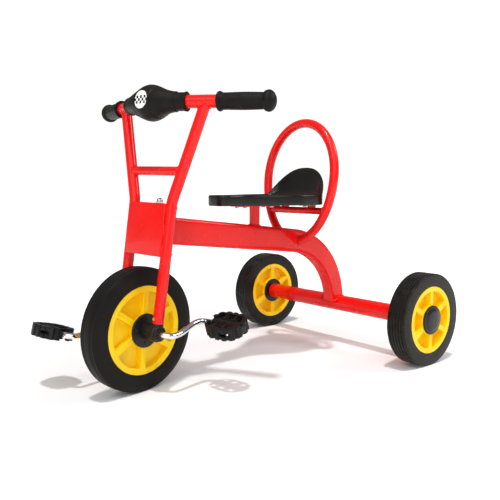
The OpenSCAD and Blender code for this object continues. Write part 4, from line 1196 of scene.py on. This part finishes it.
PAD_R = 35.5
PAD_NECK_R = 17.5
PAD_BULB = 62.0
PAD_END = 84.0
PAD_SEAM = 22.0
PAD_SEAM_DEPTH = 0.9
PAD_CUFF_L = 6.0
PAD_CUFF_T = 1.2
ROUNDEL_SINK = 7.0


def pad_radius(s):
    """Radius of the pad at a distance s along the bar from its middle."""
    if s > PAD_BULB:
        return PAD_NECK_R
    t = s / PAD_BULB
    bulb = PAD_R - (PAD_R - PAD_NECK_R - 2.0) * (3 * t * t - 2 * t ** 3) ** 0.86
    seam_dip = PAD_SEAM_DEPTH * math.exp(-((s - PAD_SEAM) / 0.9) ** 2)
    return bulb - seam_dip


def bar_place(s):
    """Point on the bar's middle line at a distance s from its centre."""
    path = bent(bar_points, BAR_BEND_R, 24)
    middle = [p for p in path if p.y >= -1e-6]
    if abs(s) <= middle[0].y:
        return Vector((BAR_FORWARD, s, BAR_H))
    run, here = abs(s), Vector((BAR_FORWARD, 0, BAR_H))
    for p in middle:
        step = (p - here).length
        if run <= step:
            spot = here + (p - here) * (run / step)
            return Vector((spot.x, math.copysign(spot.y, s), spot.z))
        run -= step
        here = p
    return here


# Distances along the bar at which the pad has a ring, closer at the seam and at the ends
stations = [0, 4, 8, 12, 16, 19, 20.6, 21.2, 21.7, 22, 22.3, 22.8, 23.4, 25, 29, 34, 39, 44, 49, 54, 58,
            61, 62, 63.5, 66, 70, 74, 78, 82.5, 83.6, 84.6]
reach = [-s for s in reversed(stations[1:])] + stations
path, sections = [], []
for s in reach:
    radius = pad_radius(abs(s))
    if abs(s) > PAD_END - PAD_CUFF_L:
        radius += PAD_CUFF_T
    if abs(s) > PAD_END:
        radius -= 1.6
    path.append(bar_place(s))
    sections.append(circle(radius, 72))
bm = bmesh.new()
add_sweep(bm, path, sections, Vector((0, 0, 1)))
pad = mesh_from("pad", bm)
recess = bmesh.new()
face_place = Matrix.Translation((BAR_FORWARD + PAD_R - ROUNDEL_SINK, 0, BAR_H)) @ about_y(90)
add_prism(recess, circle(ROUNDEL_R + 0.7, 72), 0, 20, face_place)
pad = combine(pad, [mesh_from("recess", recess)], "DIFFERENCE")
pad.transform(FORK)
pad = soften(pad, 0.5, 2, 50)
piece("bar_pad", pad, "steering", grip_rubber, "grip_rubber", "bar_pad")

bm = bmesh.new()
add_prism(bm, circle(ROUNDEL_R, 72), -0.5, 1.5, bevel=0.5, bevel_steps=3)
disc = mesh_from("roundel", bm)
own = disc.attributes.new("disc_place", "FLOAT_VECTOR", "POINT")
for vertex, value in zip(disc.vertices, own.data):
    value.vector = (vertex.co.y, -vertex.co.x, vertex.co.z)
disc.transform(FORK @ face_place)
piece("pad_roundel", disc, "steering", roundel_print, "roundel_white", "pad_roundel")

# ---- main beam and rear axle ----

BEAM_W = 32.0
BEAM_H = 56.0
BEAM_END_H = 47.0
BEAM_CORNER = 9.0
BEAM_SLOPE = 6.5
BEAM_BEND_R = 170.0
BEAM_FOOT_X = 9.5
AXLE_TUBE_R = 20.0
AXLE_TUBE_HALF = 238.0
head_low, head_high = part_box("head_tube")
head_middle = (head_low + head_high) / 2
HEAD_X = (head_middle.x - REAR_AXLE_X) / MM
HEAD_Z = head_middle.z / MM


def beam_z(x):
    return HEAD_Z + math.tan(math.radians(BEAM_SLOPE)) * (x - HEAD_X)


BEAM_STEPS = 48
FOOT_STEPS = 6
FOOT_SPREAD = 5.0
bend_x = BEAM_FOOT_X + BEAM_BEND_R
bend_from = 90 + BEAM_SLOPE
bend_z = beam_z(bend_x + BEAM_BEND_R * math.cos(math.radians(bend_from)))
bend_z -= BEAM_BEND_R * math.sin(math.radians(bend_from))
beam_path = [Vector((HEAD_X, 0, HEAD_Z)), Vector((HEAD_X - 60, 0, beam_z(HEAD_X - 60)))]
beam_sections = [rounded_box(BEAM_W, BEAM_H, BEAM_CORNER)] * 2
for k in range(BEAM_STEPS + 1):
    a = math.radians(bend_from + (180 - bend_from) * k / BEAM_STEPS)
    beam_path.append(Vector((bend_x + BEAM_BEND_R * math.cos(a), 0, bend_z + BEAM_BEND_R * math.sin(a))))
    depth = BEAM_H + (BEAM_END_H - BEAM_H) * k / BEAM_STEPS
    # The foot spreads a little where it is welded to the axle tube
    spread = FOOT_SPREAD * max(0.0, (k - BEAM_STEPS + FOOT_STEPS) / FOOT_STEPS) ** 2
    beam_sections.append(rounded_box(BEAM_W + spread, depth, BEAM_CORNER))
beam_path.append(Vector((BEAM_FOOT_X, 0, REAR_R + 9)))
beam_foot = rounded_box(BEAM_W + 6, BEAM_END_H - 2, BEAM_CORNER)
beam_sections.append(beam_foot)
bm = bmesh.new()
add_sweep(bm, beam_path, beam_sections, Vector((0, 1, 0)))
piece("main_beam", mesh_from("beam", bm, TRIKE), "frame", red_paint, "red_paint", "main_beam")

bm = bmesh.new()
tube_bore = AXLE_TUBE_R - 2
add_lathe(bm, fillet([(tube_bore, -AXLE_TUBE_HALF), (AXLE_TUBE_R, -AXLE_TUBE_HALF),
                      (AXLE_TUBE_R, AXLE_TUBE_HALF), (tube_bore, AXLE_TUBE_HALF)], 0.5, 3), 80,
          Matrix.Translation((0, 0, REAR_R)))
piece("rear_axle_tube", mesh_from("axle_tube", bm, TRIKE), "frame", red_paint, "red_paint",
      "rear_axle_tube")

# The weld's path: the beam's foot laid on the tube
foot_loop = []
for u, v in beam_foot:
    x = BEAM_FOOT_X + v
    above = math.sqrt(max(0.0, AXLE_TUBE_R ** 2 - x * x))
    foot_loop.append(Vector((x, u, REAR_R + max(above, 9.0))))

# ---- backrest hoop ----

HOOP_HALF = 111.0
HOOP_TOP = 128.0
HOOP_LOW = 155.0
HOOP_R = 10.5
HOOP_LEAN = math.radians(5.9)
HOOP_X = 154.0
HOOP_STEPS = 144
# In degrees from the hoop's left side: it starts inside the beam and goes round until it is back there
HOOP_START = -86
HOOP_SWEEP = 352
hoop_foot_z = beam_z(HOOP_X)


def hoop_point(degrees):
    a = math.radians(degrees)
    rise = HOOP_LOW + (HOOP_TOP if math.sin(a) > 0 else HOOP_LOW) * math.sin(a)
    return Vector((HOOP_X - rise * math.sin(HOOP_LEAN), HOOP_HALF * math.cos(a),
                   hoop_foot_z + rise * math.cos(HOOP_LEAN)))


tube("backrest_hoop", [hoop_point(HOOP_START + HOOP_SWEEP * k / HOOP_STEPS)
                       for k in range(HOOP_STEPS + 1)], HOOP_R, TRIKE, "frame", 40)
cross_low, cross_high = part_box("hoop_cross_tube")
cross_x = ((cross_low.x + cross_high.x) / 2 - REAR_AXLE_X) / MM
cross_z = (cross_low.z + cross_high.z) / 2 / MM
CROSS_R = 8.0
hoop_share = (cross_z - hoop_foot_z - HOOP_LOW) / HOOP_LOW
cross_y = HOOP_HALF * math.sqrt(1 - hoop_share ** 2)
tube("hoop_cross_tube", [Vector((cross_x, -cross_y, cross_z)), Vector((cross_x, cross_y, cross_z))],
     CROSS_R, TRIKE, "frame")

# Welds where the hoop enters the beam's sides and where the cross tube meets the hoop
loops = [foot_loop]
side_angle = math.degrees(math.asin(hoop_share))
hoop_line = [hoop_point(a) for a in (-81, -84, side_angle - 1, side_angle + 1)]
for flip, line in ((1, hoop_line), (-1, [other_side(v) for v in hoop_line])):
    base, ahead, one, two = line
    loops.append(coped_loop(base, ahead - base, HOOP_R + WELD_RISE,
                            to_plane((0, flip * BEAM_W / 2, 0), (0, 1, 0))))
    loops.append(coped_loop((cross_x, 0, cross_z), (0, flip, 0), CROSS_R + WELD_RISE,
                            to_tube(one, two - one, HOOP_R)))
weld("frame_welds", loops, 2.0, TRIKE, "frame")

# Seat post and its weld
post_low, post_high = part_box("seat_post")
post_x = ((post_low.x + post_high.x) / 2 - REAR_AXLE_X) / MM
post_l = (post_high.x - post_low.x) / MM
post_w = (post_high.y - post_low.y) / MM
post_top = post_high.z / MM
beam_top = beam_z(post_x) + BEAM_H / 2 / math.cos(math.radians(BEAM_SLOPE))
bm = bmesh.new()
add_prism(bm, rounded_box(post_l, post_w, 3.0, 4), beam_top - 8, post_top,
          Matrix.Translation((post_x, 0, 0)))
piece("seat_post", mesh_from("post", bm, TRIKE), "frame", red_paint, "red_paint", "seat_post")
slope = math.tan(math.radians(BEAM_SLOPE))
weld("post_weld", [[Vector((post_x + u, v, beam_top + slope * u + 0.4))
                    for u, v in rounded_box(post_l + 1, post_w + 1, 3.0, 4)]], 1.8, TRIKE, "frame")

# ---- seat ----

SEAT_L = 275.0
SEAT_NOSE_W = 66.0
SEAT_REAR_W = 186.0
SEAT_RIM_H = 23.5
SEAT_BACK_H = 64.0
SEAT_BACK_LEAN = 10.0
SEAT_WALL = 5.0
SEAT_FLARE_START = 52
SEAT_FLARE_L = 140
SEAT_NOSE_ROUND = 30
SEAT_REAR_ROUND = 42
SEAT_BACK_DEPTH = 66
SEAT_HOLE_R = 3.0
SEAT_HOLE_H = 53.0
seat_low, seat_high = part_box("seat")
SEAT_Z = seat_low.z / MM
SEAT_NOSE_X = (seat_high.x - REAR_AXLE_X) / MM
SEAT_X = SEAT_NOSE_X - SEAT_L


def smooth(t):
    t = max(0.0, min(1.0, t))
    return t * t * (3 - 2 * t)


def seat_half_w(x):
    flare = smooth((SEAT_NOSE_X - SEAT_FLARE_START - x) / SEAT_FLARE_L)
    w = SEAT_NOSE_W / 2 + (SEAT_REAR_W - SEAT_NOSE_W) / 2 * flare
    nose = min(1.0, max(0.0, (x - (SEAT_NOSE_X - SEAT_NOSE_ROUND)) / SEAT_NOSE_ROUND))
    rear = min(1.0, max(0.0, (SEAT_X + SEAT_REAR_ROUND - x) / SEAT_REAR_ROUND))
    return w * (1 - nose ** 2.6) ** (1 / 2.6) * (1 - rear ** 2.4) ** (1 / 2.4)


def seat_outline(count=64):
    """The left half from the rear to the nose, then the right half back again."""
    xs = [SEAT_X + SEAT_L * (1 - math.cos(math.pi * i / count)) / 2 for i in range(count + 1)]
    left = [Vector((x, seat_half_w(x))) for x in xs]
    left[0].y = left[-1].y = 0.0
    right = [Vector((p.x, -p.y)) for p in left[-2:0:-1]]
    return left + right


def evened(points, count):
    """The closed outline again, with its points at even distances."""
    closed = points + [points[0]]
    lengths = [(b - a).length for a, b in zip(closed, closed[1:])]
    total = sum(lengths)
    out, i, gone = [], 0, 0.0
    for k in range(count):
        want = total * k / count
        while gone + lengths[i] < want:
            gone += lengths[i]
            i += 1
        out.append(closed[i].lerp(closed[i + 1], (want - gone) / lengths[i]))
    return out


def seat_back_rise(y):
    t = min(1.0, abs(y) / (SEAT_REAR_W / 2))
    return SEAT_BACK_H * (1 - t ** 2.4) ** 0.8


def seat_mesh():
    """Moulded shell: turned-down rim, dished top and a raised back that leans rearward."""
    outline = evened(seat_outline(200), 180)
    n = len(outline)
    normals = []
    for i in range(n):
        along = outline[(i + 1) % n] - outline[i - 1]
        normals.append(Vector((along.y, -along.x)).normalized() * -1)
    if normals[n // 2].dot(Vector((-1, 0))) < 0:
        normals = [-v for v in normals]
    lean = math.tan(math.radians(SEAT_BACK_LEAN))
    back_x, nose_x = SEAT_X + SEAT_BACK_DEPTH, SEAT_NOSE_X - SEAT_NOSE_ROUND
    spine = [Vector((min(max(p.x, back_x), nose_x), 0)) for p in outline]

    def ring(inset, height, share, lift):
        """inset moves in from the outline; share moves on towards the middle; lift is the back's part."""
        out = []
        for i, p in enumerate(outline):
            behind = smooth((back_x - p.x) / 40)
            rise = seat_back_rise(p.y) * behind
            q = p + normals[i] * inset
            q = q.lerp(spine[i], share)
            z = height + lift * rise
            back = lean * max(0.0, z - SEAT_RIM_H) * behind
            out.append(Vector((q.x - back, q.y, SEAT_Z + z)))
        return out

    top = SEAT_RIM_H
    # From inside the rim's edge, up the outside, over the lip and down to the middle of the dish
    rings = [ring(*row) for row in (
        (SEAT_WALL - 1, 0.3, 0, 0), (SEAT_WALL - 2.6, 0.0, 0, 0), (1.2, 0.0, 0, 0), (0.3, 0.5, 0, 0),
        (0, 1.6, 0, 0), (0, 6, 0, 0), (0, 11, 0, 0), (0, 15, 0, 0.05), (0.1, top - 4.5, 0, 0.35),
        (0.1, top - 4.2, 0, 0.6), (0.15, top - 4.0, 0, 0.8), (0.3, top - 3.2, 0, 0.95),
        (0.7, top - 1.9, 0, 1), (1.5, top - 0.8, 0, 1), (2.6, top - 0.1, 0, 1), (3.8, top, 0, 1),
        (5.0, top - 0.3, 0, 0.995), (6.1, top - 1.0, 0, 0.98), (6.9, top - 1.7, 0, 0.94),
        (7.3, top - 2.2, 0, 0.84), (7.7, top - 2.6, 0, 0.68), (8.3, top - 3.0, 0, 0.5),
        (9.2, top - 3.4, 0, 0.33), (10.8, top - 3.8, 0.0, 0.19), (13.2, top - 4.3, 0.02, 0.09),
        (15, top - 4.9, 0.07, 0.035), (16, top - 5.6, 0.15, 0.01), (16, top - 6.3, 0.28, 0),
        (16, top - 6.9, 0.46, 0), (16, top - 7.3, 0.66, 0), (16, top - 7.5, 0.85, 0),
        (16, top - 7.5, 1.0, 0),
    )]
    floor = top - 7.5 - SEAT_WALL
    under = [ring(*row) for row in (
        (SEAT_WALL, 1.2, 0, 0), (SEAT_WALL, floor - 3, 0, 0), (SEAT_WALL + 1.2, floor - 0.8, 0, 0),
        (SEAT_WALL + 4, floor, 0, 0), (16, floor, 0.2, 0), (16, floor, 0.6, 0), (16, floor, 1.0, 0),
    )]
    bm = bmesh.new()
    join_rings(bm, [[bm.verts.new(p) for p in r] for r in under[::-1] + rings])
    # The first and the last ring lie flat along a line, where both their sides meet
    bmesh.ops.remove_doubles(bm, verts=bm.verts, dist=0.01)
    return mesh_from("seat", bm)


seat = seat_mesh()
hole = bmesh.new()
hole_rise = SEAT_HOLE_H - (SEAT_RIM_H - SEAT_WALL)
hole_place = (Matrix.Translation((SEAT_X, 0, SEAT_Z + SEAT_RIM_H - SEAT_WALL))
              @ about_y(-SEAT_BACK_LEAN) @ Matrix.Translation((-30, 0, hole_rise)) @ about_y(90))
add_prism(hole, circle(SEAT_HOLE_R, 32), 0, 70, hole_place)
seat = combine(seat, [mesh_from("hole", hole)], "DIFFERENCE")
bosses = bmesh.new()
BOSS_R = 7
PLATE_BOLT_X = 40
PLATE_BOLT_Y = 14
TAB_BOLT_X = 18
TAB_BOLT_Y = 45.0
bolt_spots = []
for bolt_x in (post_x - PLATE_BOLT_X, post_x + PLATE_BOLT_X):
    for bolt_y in (-PLATE_BOLT_Y, PLATE_BOLT_Y):
        bolt_spots.append((bolt_x, bolt_y))
for bolt_y in (-TAB_BOLT_Y, TAB_BOLT_Y):
    bolt_spots.append((cross_x + TAB_BOLT_X, bolt_y))
for bolt_x, bolt_y in bolt_spots:
    add_prism(bosses, circle(BOSS_R, 32), SEAT_Z + 0.2, SEAT_Z + SEAT_RIM_H - 9,
              Matrix.Translation((bolt_x, bolt_y, 0)), bevel=0.5, bevel_steps=2)
seat = combine(seat, [mesh_from("bosses", bosses)], "UNION")
seat.transform(TRIKE)
for polygon in seat.polygons:
    polygon.use_smooth = True
seat.set_sharp_from_angle(angle=math.radians(50))
piece("seat", seat, "frame", seat_abs, "black_plastic", "seat")

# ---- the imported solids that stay, with their finishes ----

for node, finish in {
    "head_tube": red_paint, "seat_plate": red_paint, "seat_tabs": red_paint,
    "yoke_upper": red_paint, "yoke_lower": red_paint,
    "head_bush_upper": hub_nylon, "head_bush_lower": hub_nylon, "axle_tube_plugs": hub_nylon,
    "rear_bush_left": hub_nylon, "rear_bush_right": hub_nylon, "axle_washers": hub_nylon,
    "seat_bolts": zinc, "rear_axle_rod": zinc, "axle_lock_caps": zinc, "king_pin": zinc,
    "king_pin_nut": zinc, "housing_screws": zinc, "spindle_nuts": zinc, "axle_bushes": brass,
}.items():
    mesh = frame["nodes"][node].data
    mesh.materials.clear()
    mesh.materials.append(finish)

# ---- floor, backdrop and light; sizes here are in metres ----


def make_stage_paper():
    material, tree, place = start_material("white_stage_paper")
    # Away from the object the paper glows a little, so that no horizon shows
    away = add(tree, "ShaderNodeVectorMath", {0: place}, operation="LENGTH")
    glow = add(tree, "ShaderNodeMapRange", {
        "Value": away.outputs["Value"], "From Min": 0.4, "From Max": 1.2, "To Min": 0.02, "To Max": 0.3})
    finish_material(tree, {
        "Base Color": colour("FAFAFA"), "Roughness": 0.9, "Emission Color": (1, 1, 1, 1),
        "Emission Strength": glow.outputs["Result"]})
    return material


stage_paper = make_stage_paper()
bm = bmesh.new()
FLOOR_HALF = 30
bmesh.ops.create_grid(bm, x_segments=1, y_segments=1, size=FLOOR_HALF)
floor_mesh = bpy.data.meshes.new("floor")
bm.to_mesh(floor_mesh)
bm.free()
floor = bpy.data.objects.new("floor", floor_mesh)
bpy.context.scene.collection.objects.link(floor)
floor_mesh.materials.append(stage_paper)


def area_light(name, spot, aim, size, power, tone="FFFFFF"):
    data = bpy.data.lights.new(name, "AREA")
    data.shape = "DISK"
    data.size = size
    data.energy = power
    data.color = colour(tone)[:3]
    light = bpy.data.objects.new(name, data)
    light.location = spot
    light.rotation_euler = (Vector(aim) - Vector(spot)).to_track_quat("-Z", "Y").to_euler()
    bpy.context.scene.collection.objects.link(light)
    return light


def sunlight(name, azimuth, elevation, power, spread):
    """Parallel light from an azimuth, in degrees from +X; spread is the softness of its shadows."""
    data = bpy.data.lights.new(name, "SUN")
    data.energy = power
    data.angle = math.radians(spread)
    light = bpy.data.objects.new(name, data)
    around, up = math.radians(azimuth), math.radians(elevation)
    source = Vector((math.cos(up) * math.cos(around), math.cos(up) * math.sin(around), math.sin(up)))
    light.rotation_euler = source.to_track_quat("Z", "Y").to_euler()
    bpy.context.scene.collection.objects.link(light)
    return light


# A hard light stands almost overhead, a lower one to the front, and a wide soft one lights the sides
sunlight("overhead", 44, 74, 1.5, 3)
sunlight("front_hard", 12, 45, 0.2, 3)
sunlight("front_fill", 40, 38, 1.4, 70)
area_light("seat_gloss", (-1.6, 1.4, 1.9), (0, 0, 0.4), 0.9, 16)

# White paper fills the view behind. It lights the object less than it shows
PAPER_SEEN = 1.05
PAPER_LIGHT = 0.28
world = bpy.data.worlds.new("studio")
bpy.context.scene.world = world
world.use_nodes = True
paper = world.node_tree.nodes["Background"]
paper.inputs["Color"].default_value = (1, 1, 1, 1)
seen = add(world.node_tree, "ShaderNodeLightPath").outputs["Is Camera Ray"]
level = add(world.node_tree, "ShaderNodeMapRange", {
    "Value": seen, "To Min": PAPER_LIGHT, "To Max": PAPER_SEEN})
world.node_tree.links.new(level.outputs["Result"], paper.inputs["Strength"])
bpy.context.scene.view_settings.view_transform = "Standard"
